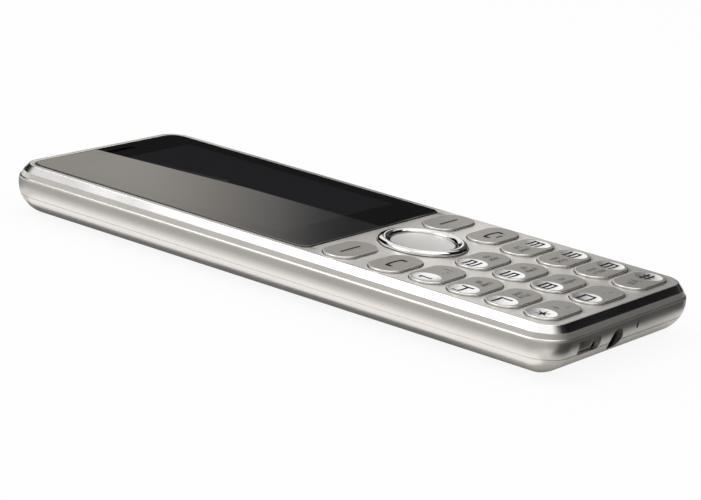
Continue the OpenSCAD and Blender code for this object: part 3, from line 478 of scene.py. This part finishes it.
# Black acoustic mesh under a film: deep black, with the lens's own gloss.
ear_black = flecked_finish("black_acoustic_mesh", "050505", "020202", 0.15, 0.0, 0.006, 0.00001, sway=0,
                           ior=LENS_IOR)
bm = bmesh.new()
plug = grown(SLOT_HALF, -PLUG_GAP)
plug_rows = [round_row(slot_spot, plug, (plug.y,) * 2, z) for z in (lens_low.z, lens_top - PLUG_SINK)]
for rim in skin(bm, plug_rows):
    bmesh.ops.contextual_create(bm, geom=rim)
close(bm)
ear = new_object("ear_plug", bm, ear_black)
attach(ear, "phone_body")
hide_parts("earpiece_mesh")


# Navigation ring and select key: a ring that rocks four ways round a satin metal-faced button.
# Both are turned shapes. The ring is vacuum-plated over its round crest, its skirt is coloured dark as
# painted shade at its foot, and it clips to a clear film. The button stands on the key mat.
RING_FLANGE_T = 0.3 * MM
SKIRT_RISE = 0.13 * MM
CREST_STEP = 6
SELECT_GAP = 0.22 * MM
SELECT_FLANGE, SELECT_FLANGE_T = 0.65 * MM, 0.25 * MM
SELECT_RIM, SELECT_SOFT = 0.4 * MM, 0.15 * MM
SELECT_DISH, SELECT_DISH_STEPS = 0.12 * MM, 10
RELIEF_GAP, RELIEF_RISE = 0.45 * MM, 0.72 * MM
SPIN_STEPS = 128

select_low, select_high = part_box("select_key")
select_flange_r = plan("select_key")[1].x
select_r = select_flange_r - SELECT_FLANGE
ring_in = select_r + SELECT_GAP
relief_r = select_flange_r + RELIEF_GAP
relief_z = select_low.z + RELIEF_RISE


def turned(bm, profile, spot):
    """Turns a closed or axis-to-axis profile of (radius, height) round a vertical axis."""
    verts = [bm.verts.new((spot[0] + r, spot[1], z)) for r, z in profile]
    edges = [bm.edges.new(pair) for pair in zip(verts, verts[1:])]
    bmesh.ops.spin(bm, geom=verts + edges, cent=(*spot, 0), axis=(0, 0, 1), angle=2 * math.pi,
                   steps=SPIN_STEPS, use_merge=True)
    close(bm)


# Vacuum-plated chrome: a clear mirror, black and white in thin lines along the crest.
chrome = flecked_finish("vacuum_plated_chrome", "E8E7E5", "E2E1DE", 0.3, 1.0, 0.06, 0.00005)
# Painted shade at the ring's foot: the skirt is coloured a dull dark, a line of shade that lifts the ring off
# the face.
ring_foot_shade = flecked_finish("ring_foot_painted_shade", "3A3936", "323130", 0.2, 0.0, 0.5, 0.001)
crest_r = (ring_in + nav_r) / 2
crest_half = (nav_r - ring_in) / 2
skirt_z = FACE_TOP + SKIRT_RISE
flange_r, flange_z = nav_r + KEY_GAP + RING_FLANGE, nav_low.z + RING_FLANGE_T
ring_profile = [(relief_r, nav_low.z), (flange_r, nav_low.z), (flange_r, flange_z), (nav_r, flange_z)]
for turn in range(0, 181, CREST_STEP):
    ring_profile.append((crest_r + crest_half * math.cos(math.radians(turn)),
                         skirt_z + (nav_high.z - skirt_z) * math.sin(math.radians(turn))))
ring_profile += [(ring_in, relief_z), (relief_r, relief_z), (relief_r, nav_low.z)]
bm = bmesh.new()
turned(bm, ring_profile, nav_spot)
# Faces below the skirt height take the painted shade of the ring's foot.
for face in bm.faces:
    face.material_index = 1 if face.calc_center_median().z < skirt_z else 0
ring = new_object("ring_plated", bm, chrome, ring_foot_shade)
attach(ring, "nav_ring")
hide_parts("nav_ring")

# Satin metal face: blasted fine, so it is evenly pale with a slow change of shade across its dish.
select_satin = flecked_finish("satin_metal_face", "E2DFDB", "D2CFCB", 0.1, 0.9, 0.3, 0.001)
dish = []
for i in range(SELECT_DISH_STEPS + 1):
    share = 1 - i / SELECT_DISH_STEPS
    dish.append(((select_r - SELECT_RIM) * share, select_high.z - SELECT_DISH * (1 - share ** 2)))
step_z = select_low.z + SELECT_FLANGE_T
select_profile = [(0, select_low.z), (select_flange_r, select_low.z), (select_flange_r, step_z),
                  (select_r, step_z)]
select_profile += soften([(select_r, step_z), (select_r, select_high.z), dish[0]], SELECT_SOFT)[1:-1]
bm = bmesh.new()
turned(bm, select_profile + dish, nav_spot)
select = new_object("select_button", bm, select_satin)
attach(select, "select_key")
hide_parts("select_key")


# Keys: sixteen moulded capsules with satin silver tops and bright plated edges, each with stem and flange.
# The dished end of a number key is plated too. Legends are printed in dark ink, and the flange holds the key
# in. The tops lie a little lower than the solids', as the real keys do.
KEY_CHAMFER, KEY_CHAMFER_STEPS = 0.2 * MM, 5
KEY_SINK = 0.28 * MM
FLANGE_T = 0.4 * MM
DISH_R, DISH_DEPTH, DISH_END = 2.75 * MM, 0.17 * MM, 3.25 * MM
DISH_SHARES = (1.0, 0.97, 0.9, 0.8, 0.66, 0.5, 0.33, 0.16)
RIGHT_COLUMN = 10 * MM
SATIN, PLATED, INK, LETTER_INK, DISH = range(5)
INK_LIFT = 0.012 * MM
STROKE = 0.5 * MM
CELL_LENGTH = 0.5 * MM
FLAG_W = 0.6 * MM
SOFT_DASH = 6.3 * MM
DIGIT_W, DIGIT_H = 3.95 * MM, 2.6 * MM
DIGIT_SHIFT = Vector((-0.15, 0.25)) * MM
STAR_POINTS, STAR_R, STAR_WAIST, STAR_STRETCH = 6, 1.6 * MM, 0.3, (1.2, 0.95, 1)
DIGITS = {
    "key_1": ("11", "01", "01", "01", "01"), "key_2": ("111", "001", "111", "100", "111"),
    "key_3": ("111", "001", "111", "001", "111"), "key_4": ("101", "101", "111", "001", "001"),
    "key_5": ("111", "100", "111", "001", "111"), "key_6": ("111", "100", "111", "101", "111"),
    "key_7": ("111", "001", "001", "001", "001"), "key_8": ("111", "101", "111", "101", "111"),
    "key_9": ("111", "101", "111", "001", "111"), "key_0": ("111", "101", "101", "101", "111"),
    "key_hash": ("01010", "11111", "01010", "11111", "01010")}
ARCH_R, ARCH_RISE, ARCH_T, ARCH_TURN, ARCH_STEPS = 13.0 * MM, 0.6 * MM, 0.54 * MM, 12, 16
PAD_OUT, PAD_DROP, PAD_W, PAD_H = 2.5 * MM, 0.15 * MM, 0.85 * MM, 1.3 * MM
END_DASH_DROP, END_DASH_W, END_DASH_H = 1.5 * MM, 2.2 * MM, 0.4 * MM
LETTERS = {
    "key_1": (". , ?", ""), "key_2": ("abc", "абвг"), "key_3": ("def", "дежз"),
    "key_4": ("ghi", "ийкл"), "key_5": ("jkl", "мноп"),
    "key_6": ("mno", "рсту"), "key_7": ("pqrs", "фхцч"),
    "key_8": ("tuv", "шщъы"), "key_9": ("wxyz", "ьэюя"),
    "key_star": ("+ _", ""), "key_0": (". _", ""), "key_hash": ("a/A", "")}
LETTER_H, SIGN_H, LETTER_BOLD = 1.6 * MM, 2.72 * MM, 0.045 * MM
LETTER_IN, LINE_RISE = 2.4 * MM, 0.85 * MM

# Satin key lacquer: a darker silver with a dry, even sheen, so that keys stand out from the face.
key_satin = flecked_finish("satin_key_lacquer", "A8A49D", "9E9A94", 0.1, 0.8, 0.42, 0.001)
# Plated edge and dish: bright metal, a thin light line round the key and a white spot under the digit.
key_plated = flecked_finish("plated_key_edge", "F4F2EF", "ECEAE6", 0.2, 1.0, 0.26, 0.0002)
key_dish = flecked_finish("plated_key_dish", "FFFEFC", "F8F7F4", 0.2, 0.95, 0.24, 0.0002)
# Printing inks: flat and dry, near black for digits and signs, grey for the small letters.
key_ink = flecked_finish("dark_key_ink", "1C1B19", "141312", 0.2, 0.0, 0.6, 0.001, shine=0.1)
letter_ink = flecked_finish("grey_letter_ink", "6C6A66", "62605C", 0.2, 0.0, 0.6, 0.001, shine=0.1)


def bar_widths(count, span, crossed):
    """Widths of a sign's columns or rows: strokes with spaces between, or round them in a crossed sign."""
    if count == 1:
        return [span]
    if count == 2:
        return [FLAG_W, STROKE]
    strokes = [i % 2 == int(crossed) for i in range(count)]
    space = (span - sum(strokes) * STROKE) / (count - sum(strokes))
    return [STROKE if stroke else space for stroke in strokes]


def blocks(bm, rows, spot, width, height):
    """Squared sign made of the marked cells of a small grid."""
    crossed = len(rows[0]) == 5
    wide = bar_widths(len(rows[0]), width, crossed)
    high = bar_widths(len(rows), height, crossed)
    for j, row in enumerate(rows):
        for i, mark in enumerate(row):
            if mark == "1":
                middle = (spot[0] - sum(wide) / 2 + sum(wide[:i]) + wide[i] / 2,
                          spot[1] + sum(high) / 2 - sum(high[:j]) - high[j] / 2)
                parts = max(1, round(wide[i] / CELL_LENGTH))
                cell = bmesh.ops.create_grid(bm, x_segments=parts, y_segments=1, size=0.5)["verts"]
                bmesh.ops.scale(bm, verts=cell, vec=(wide[i], high[j], 1))
                bmesh.ops.translate(bm, verts=cell, vec=(*middle, 0))


def handset(bm, spot, dash):
    """Telephone receiver as a low arch with two pads, over a dash on the end key."""
    centre = Vector((spot[0], spot[1] + ARCH_RISE - ARCH_R, 0))
    start = Vector((-math.sin(math.radians(ARCH_TURN)), math.cos(math.radians(ARCH_TURN)), 0))
    ends = [bm.verts.new(centre + (ARCH_R + off) * start) for off in (-ARCH_T / 2, ARCH_T / 2)]
    side = bm.edges.new(ends)
    bmesh.ops.spin(bm, geom=ends + [side], cent=centre, axis=(0, 0, 1), angle=math.radians(-2 * ARCH_TURN),
                   steps=ARCH_STEPS)
    for x in (-PAD_OUT, PAD_OUT):
        blocks(bm, ("1",), (spot[0] + x, spot[1] - PAD_DROP), PAD_W, PAD_H)
    if dash:
        blocks(bm, ("1",), (spot[0], spot[1] - END_DASH_DROP), END_DASH_W, END_DASH_H)


def lettering(bm, words, spot, height):
    """Adds a line of text, centred on a spot."""
    curve = bpy.data.curves.new("words", "FONT")
    curve.body = words
    curve.size = height
    curve.offset = LETTER_BOLD
    curve.align_x = "CENTER"
    curve.align_y = "CENTER"
    text = bpy.data.objects.new("words", curve)
    scene.collection.objects.link(text)
    bpy.context.view_layer.update()
    mesh = text.to_mesh()
    mesh.transform(Matrix.Translation((*spot, 0)))
    bm.from_mesh(mesh)
    text.to_mesh_clear()
    bpy.data.objects.remove(text)
    bpy.data.curves.remove(curve)


def key_mesh(node):
    """One key: flange, stem, plated chamfer, satin top, and the dish of a number key."""
    spot, half = key_plan(node)
    low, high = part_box(node)
    top = high.z - KEY_SINK
    bm = bmesh.new()
    flange = KEY_GAP + KEY_FLANGE
    step_z = low.z + FLANGE_T
    profile = [(flange, low.z), (flange, step_z), (0, step_z)]
    profile += soften([(0, step_z), (0, top), (-2 * KEY_CHAMFER, top)], KEY_CHAMFER, KEY_CHAMFER_STEPS)[1:-1]
    rows = []
    for out, z in profile:
        reach = grown(half, out)
        rows.append(round_row(spot, reach, (reach.y,) * 2, z))
    foot, top_edges = skin(bm, rows)
    bmesh.ops.contextual_create(bm, geom=foot)
    for face in bm.faces:
        face.material_index = PLATED
    side = 1 if spot.x > RIGHT_COLUMN else -1
    dish_spot = spot + Vector((side * (half.x - DISH_END), 0))
    if node in NUMBER_KEYS:
        rows = []
        for share in DISH_SHARES:
            radius = DISH_R * share
            depth = DISH_DEPTH * (1 - share ** 2)
            rows.append(round_row(dish_spot, (radius,) * 2, (radius,) * 2, top - depth))
        before = set(bm.faces)
        rims = skin(bm, rows)
        bmesh.ops.contextual_create(bm, geom=rims[1])
        top_edges += rims[0]
        for face in set(bm.faces) - before:
            face.material_index = DISH
    bmesh.ops.triangle_fill(bm, edges=top_edges, use_beauty=True)
    close(bm)
    return bm, spot, dish_spot, side, top


for node in SIDE_KEYS + NUMBER_KEYS:
    bm, spot, dish_spot, side, top = key_mesh(node)
    ink = bmesh.new()
    if node.startswith("key_soft"):
        blocks(ink, ("1",), spot, SOFT_DASH, STROKE)
    elif node in SIDE_KEYS:
        handset(ink, spot, node == "key_end")
    elif node == "key_star":
        star = bmesh.ops.create_circle(ink, cap_ends=True, segments=2 * STAR_POINTS, radius=STAR_R)["verts"]
        bmesh.ops.scale(ink, verts=star[::2], vec=(STAR_WAIST, STAR_WAIST, 1))
        bmesh.ops.scale(ink, verts=star, vec=STAR_STRETCH)
        bmesh.ops.translate(ink, verts=star, vec=(*dish_spot, 0))
    else:
        blocks(ink, DIGITS[node], dish_spot + DIGIT_SHIFT, DIGIT_W, DIGIT_H)
    for face in ink.faces:
        face.material_index = INK
    if node in LETTERS:
        upper, lower = LETTERS[node]
        letter_spot = spot - Vector((side * LETTER_IN, 0))
        if lower:
            lettering(ink, upper, letter_spot + Vector((0, LINE_RISE)), LETTER_H)
            lettering(ink, lower, letter_spot - Vector((0, LINE_RISE)), LETTER_H)
        else:
            lettering(ink, upper, letter_spot, SIGN_H)
    bmesh.ops.remove_doubles(ink, verts=ink.verts, dist=1e-6)
    for vert in ink.verts:
        share = min(1.0, (vert.co.xy - dish_spot).length / DISH_R) if node in NUMBER_KEYS else 1.0
        vert.co.z = top + INK_LIFT - DISH_DEPTH * (1 - share ** 2)
    for face in ink.faces:
        if face.material_index == SATIN:
            face.material_index = LETTER_INK
    bmesh.ops.recalc_face_normals(ink, faces=ink.faces)
    if sum(face.normal.z for face in ink.faces) < 0:
        bmesh.ops.reverse_faces(ink, faces=ink.faces)
    legend = bpy.data.meshes.new("legend")
    ink.to_mesh(legend)
    ink.free()
    bm.from_mesh(legend)
    bpy.data.meshes.remove(legend)
    key = new_object(node + "_cap", bm, key_satin, key_plated, key_ink, letter_ink, key_dish)
    key.modifiers.new("even_normals", "WEIGHTED_NORMAL").keep_sharp = True
    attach(key, node)
    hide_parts(node)


# Rear chassis: the silver side frame with a bead along its top, which carries the deck, boards and ports.
# It is moulded ABS, lacquered outside and bare inside. The front housing is screwed to its deck, and the
# cover snaps over its lip.
CHASSIS_TOP = FACE_TOP - BEVEL_DROP - BAND_DROP
BELLY_DROP, SEAM_DROP = 3.6 * MM, 6.2 * MM
BEAD_R = 0.6 * MM
BEAD_START, BEAD_END, BEAD_STEP = 70, 15, 11
HOLLOW_STEPS, ROUND_STEPS = 14, 12
CHASSIS_WALL, COVER_WALL = 1.5 * MM, 1.0 * MM
SEAM_GAP, SEAM_SOFT = 0.03 * MM, 0.03 * MM
BACK_ROUND, COVER_ROUND = 7.5 * MM, FACE_R + SIDE_OUT
BELLY = FACE_TOP - BELLY_DROP
PORT_GAP, JACK_GAP = 0.18 * MM, 0.08 * MM
PORT_NEAR, PORT_FAR, PORT_STEPS = 4 * MM, 5.5 * MM, 10
USB_R_TOP, USB_R_LOW = 0.35 * MM, 1.0 * MM
MIC_DROP, MIC_HALF = 4.2 * MM, Vector((0.35, 0.65)) * MM
DECK_GAP = 0.02 * MM
seam_phi = math.asin((SEAM_DROP - BELLY_DROP) / BELLY)
bay_in = SIDE_OUT - CHASSIS_WALL


def side_point(phi):
    """Point of the round side, as distance out from the face's edge and height."""
    return Vector((SIDE_OUT - BACK_ROUND + BACK_ROUND * math.cos(phi), BELLY * (1 - math.sin(phi))))


def inner_point(phi):
    """Point of the cover's inner face, one wall in from the round side."""
    normal = Vector((math.cos(phi) / COVER_ROUND, math.sin(phi) / BELLY)).normalized()
    place = Vector((SIDE_OUT - COVER_ROUND + COVER_ROUND * math.cos(phi), BELLY * (1 - math.sin(phi))))
    return place + COVER_WALL * Vector((-normal.x, normal.y))


def cut(piece, cutters):
    """Cuts closed meshes out of a piece for good and deletes them."""
    bpy.context.view_layer.objects.active = piece
    bpy.context.view_layer.update()
    for cutter in cutters:
        hole = piece.modifiers.new("hole", "BOOLEAN")
        hole.operation = "DIFFERENCE"
        hole.solver = "EXACT"
        hole.object = cutter
        bpy.ops.object.modifier_apply(modifier=hole.name)
    for cutter in cutters:
        bpy.data.objects.remove(cutter)
    piece.data.set_sharp_from_angle(angle=SHARP_EDGE)


def end_prism(name, spot, half, radii):
    """Closed prism through the bottom end, its section a rounded rectangle of (x, z)."""
    bm = bmesh.new()
    ends = (body_high.y + PORT_NEAR, body_high.y - PORT_FAR)
    rows = [round_row(spot, half, radii, y, PORT_STEPS) for y in ends]
    for rim in skin(bm, rows):
        bmesh.ops.contextual_create(bm, geom=rim)
    bmesh.ops.rotate(bm, verts=bm.verts, matrix=Matrix.Rotation(math.pi / 2, 3, "X"))
    close(bm)
    return new_object(name, bm)


def port_cutters():
    """Cutters for the charging socket, the headset jack and the microphone, from the pieces behind them."""
    usb_low, usb_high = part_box("usb_socket")
    jack_low, jack_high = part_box("audio_jack")
    usb_spot, usb_half = (usb_low + usb_high) / 2, (usb_high - usb_low) / 2
    jack_spot = (jack_low + jack_high) / 2
    jack_r = (jack_high.z - jack_low.z) / 2 + JACK_GAP
    mic_x = plan("mic_boot")[0].x
    return [end_prism("usb_cut", usb_spot.xz, grown(usb_half.xz, PORT_GAP), (USB_R_TOP, USB_R_LOW)),
            end_prism("jack_cut", jack_spot.xz, (jack_r, jack_r), (jack_r, jack_r)),
            end_prism("mic_cut", (mic_x, FACE_TOP - MIC_DROP), MIC_HALF, (MIC_HALF.x,) * 2)]


def out_of_face(place):
    """How far a point lies out from the edge of the front face, seen from the front."""
    over = Vector((abs(place.x), abs(place.y))) - face_half
    if min(over) > -FACE_R:
        return grown(over, FACE_R).length - FACE_R
    return max(over)


bead_in = BEVEL_OUT + BAND_OUT - BEAD_R * math.cos(math.radians(BEAD_START))
bead_low = CHASSIS_TOP - BEAD_R * math.sin(math.radians(BEAD_START))
bead = [Vector((bead_in + BEAD_R * math.cos(math.radians(a)), bead_low + BEAD_R * math.sin(math.radians(a))))
        for a in range(BEAD_START, BEAD_END - 1, -BEAD_STEP)]
bend = Vector((SIDE_OUT, bead[-1].y - (SIDE_OUT - bead[-1].x) / math.tan(math.radians(BEAD_END))))
belly = Vector((SIDE_OUT, BELLY))
hollow = []
for i in range(1, HOLLOW_STEPS + 1):
    t = i / HOLLOW_STEPS
    hollow.append(bead[-1].lerp(bend, t).lerp(bend.lerp(belly, t), t))
round_side = [side_point(seam_phi * i / ROUND_STEPS) for i in range(1, ROUND_STEPS + 1)]
seam_out, seam_z = round_side[-1].x, round_side[-1].y + SEAM_GAP / 2
section = bead + hollow + round_side[:-1]
section += [(seam_out, seam_z + SEAM_SOFT), (seam_out - SEAM_SOFT, seam_z), (bay_in, seam_z),
            (bay_in, CHASSIS_TOP), bead[0]]
bm = bmesh.new()
skin(bm, [face_row(out, z) for out, z in section])
close(bm)
chassis = new_object("side_frame", bm, silver_lacquer)
cut(chassis, port_cutters())
chassis.modifiers.new("even_normals", "WEIGHTED_NORMAL").keep_sharp = True
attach(chassis, "phone_body")
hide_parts("rear_chassis")

# Bare black ABS: dull, dark and faintly grained from the mould, so that the open back looks deep.
frame_black = flecked_finish("bare_black_abs", "2B2B2C", "232324", 0.3, 0.0, 0.5, 0.01)
bm = bmesh.new()
bm.from_mesh(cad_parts["rear_chassis"].data)
bmesh.ops.remove_doubles(bm, verts=bm.verts, dist=1e-7)
skin_faces = [face for face in bm.faces if min(out_of_face(v.co) for v in face.verts) > bay_in - DECK_GAP]
bmesh.ops.delete(bm, geom=skin_faces, context="FACES")
deck = new_object("chassis_deck", bm, frame_black)
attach(deck, "phone_body")
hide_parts("rear_chassis")


# Battery cover: one silver tray with a round edge, which snaps over the chassis and holds two small windows.
# It is moulded ABS with the same lacquer. Slots let the loudspeaker out, and a nail notch at the top end
# frees it.
CAMERA_SEAT_R, CAMERA_HOLE_R = 3.46 * MM, 2.9 * MM
FLASH_SEAT_R, FLASH_HOLE_R = 1.66 * MM, 1.0 * MM
SEAT_DEPTH, SEAT_SOFT = 0.71 * MM, 0.06 * MM
SLOT_L, SLOT_W, SLOT_PITCH, SLOT_SOFT = 8.0 * MM, 0.8 * MM, 1.7 * MM, 0.08 * MM
NOTCH_R, NOTCH_L, NOTCH_OUT, NOTCH_DROP = 1.3 * MM, 9.0 * MM, 0.4 * MM, 0.46 * MM
COVER_STEPS, NOTCH_STEPS = 20, 32
FLAT_STEP, LIP_OUT = 0.02 * MM, 0.1 * MM

bm = bmesh.new()
phis = [seam_phi + (math.pi / 2 - seam_phi) * i / COVER_STEPS for i in range(COVER_STEPS + 1)]
outer = [side_point(phi) for phi in phis]
inner = [inner_point(phi) for phi in reversed(phis[1:])]
cover_seam = outer[0].y - SEAM_GAP / 2
section = [(outer[0].x - SEAM_SOFT, cover_seam), (outer[0].x, cover_seam - SEAM_SOFT), *outer[1:-1],
           (outer[-1].x + FLAT_STEP, outer[-1].y)]
inside = [(inner[0].x + FLAT_STEP, inner[0].y), *inner[1:], (inner[-1].x + LIP_OUT, cover_seam), section[0]]
back_edges = skin(bm, [face_row(out, z) for out, z in section])[1]
tray_edges = skin(bm, [face_row(out, z) for out, z in inside])[0]

for node, seat, hole in (("camera_window", CAMERA_SEAT_R, CAMERA_HOLE_R),
                         ("flash_window", FLASH_SEAT_R, FLASH_HOLE_R)):
    steps = [(seat + SEAT_SOFT, 0), (seat, SEAT_SOFT), (seat, SEAT_DEPTH), (hole, SEAT_DEPTH),
             (hole, COVER_WALL)]
    rims = skin(bm, [round_row(plan(node)[0], (r, r), (r, r), z) for r, z in steps])
    back_edges += rims[0]
    tray_edges += rims[1]
for i in range(-2, 3):
    spot = plan("speaker_mesh")[0] + Vector((0, i * SLOT_PITCH))
    rows = []
    for out, z in ((SLOT_SOFT, 0), (0, SLOT_SOFT), (0, COVER_WALL)):
        half = (SLOT_L / 2 + out, SLOT_W / 2 + out)
        rows.append(round_row(spot, half, (half[1],) * 2, z))
    rims = skin(bm, rows)
    back_edges += rims[0]
    tray_edges += rims[1]
bmesh.ops.triangle_fill(bm, edges=back_edges, use_beauty=True)
bmesh.ops.triangle_fill(bm, edges=tray_edges, use_beauty=True)
close(bm)
cover = new_object("back_tray", bm, silver_lacquer)
bm = bmesh.new()
notch_spot = Matrix.Translation((0, body_high.y + NOTCH_OUT, cover_seam - NOTCH_DROP))
bmesh.ops.create_cone(bm, cap_ends=True, segments=NOTCH_STEPS, radius1=NOTCH_R, radius2=NOTCH_R,
                      depth=NOTCH_L, matrix=notch_spot @ Matrix.Rotation(math.pi / 2, 4, "Y"))
notch = new_object("notch_cut", bm)
cut(cover, port_cutters() + [notch])
cover.modifiers.new("even_normals", "WEIGHTED_NORMAL").keep_sharp = True
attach(cover, "battery_cover")
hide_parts("battery_cover")


# Inner pieces: boards, sockets, cans, battery and small parts that show in a port, a slot or the open back.
# They are bought parts, soldered, taped or clipped in. They keep their own shapes, and each takes the finish
# of its stock material.
STOCK = (
    # Stamped steel: bright and cold, with a fine rolled grain.
    (flecked_finish("stamped_steel", "C9C8C4", "B4B3AF", 0.25, 1.0, 0.28, 0.001),
     ("shield_can", "sim_holder_left", "sim_holder_right", "card_holder", "housing_screws", "vibration_motor",
      "microphone", "dome_sheet")),
    # Tinned shell: grey and dull beside the lacquer round it.
    (flecked_finish("dull_tinned_shell", "B4B3AF", "A6A5A1", 0.25, 0.4, 0.5, 0.001), ("usb_socket",)),
    # Gilded brass: a warm spark of yellow deep in the jack.
    (flecked_finish("gilded_brass", "D9BE7A", "C6A963", 0.25, 1.0, 0.25, 0.001),
     ("jack_contacts", "antenna")),
    # Black moulded PBT: dark and slightly glossy.
    (flecked_finish("black_pbt", "1B1B1C", "141415", 0.3, 0.0, 0.45, 0.004),
     ("audio_jack", "battery_contacts", "loudspeaker", "camera_module", "earpiece", "speaker_mesh")),
    # Grey liquid-crystal polymer: a pale tongue that shows in the dark socket.
    (flecked_finish("grey_liquid_crystal_polymer", "A8A6A0", "9C9A94", 0.3, 0.0, 0.5, 0.004),
     ("usb_tongue",)),
    # Closed-cell foam: black and quite matt, with open grain.
    (flecked_finish("closed_cell_foam", "1C1C1D", "101011", 0.5, 0.0, 0.9, 0.05),
     ("lcd_gasket", "lens_tape", "mic_boot")),
    # White silicone: soft and chalky.
    (flecked_finish("white_silicone", "DAD9D2", "CECDC6", 0.6, 0.0, 0.55, 0.01), ("key_mat",)),
    # Polyester film: pale and glossy.
    (flecked_finish("clear_polyester_film", "D5D8D8", "CBCFCF", 0.8, 0.0, 0.2, 0.002), ("nav_film",)),
    # Green soldermask: a wet-looking lacquer over the board's weave.
    (flecked_finish("soldermask_green", "1F5A38", "184A2E", 0.7, 0.0, 0.35, 0.01), ("main_board",)),
    # Wrapped battery can: a dark film over metal, half dull.
    (flecked_finish("wrapped_battery_can", "3A3D44", "303339", 0.5, 0.2, 0.4, 0.01), ("battery",)),
    # Tinted window: black and glassy.
    (flecked_finish("tinted_window", "0C0C10", "08080A", 0.8, 0.0, 0.05, 0.0005), ("camera_window",)),
    # Display panel: black under a polariser, with a soft gloss.
    (flecked_finish("dark_display_panel", "17181B", "101113", 0.8, 0.0, 0.2, 0.001), ("lcd_module",)),
    # Phosphor: a dry yellow spot on the lamp.
    (flecked_finish("led_phosphor", "E9D877", "DCC75E", 0.3, 0.0, 0.4, 0.01), ("flash_led",)),
    # Frosted polycarbonate: milky white light guide.
    (flecked_finish("frosted_polycarbonate", "E4E4DF", "D8D8D2", 0.4, 0.0, 0.25, 0.003), ("flash_window",)))
for material, names in STOCK:
    for name in names:
        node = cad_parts[name]
        node.data.materials.clear()
        node.data.materials.append(material)
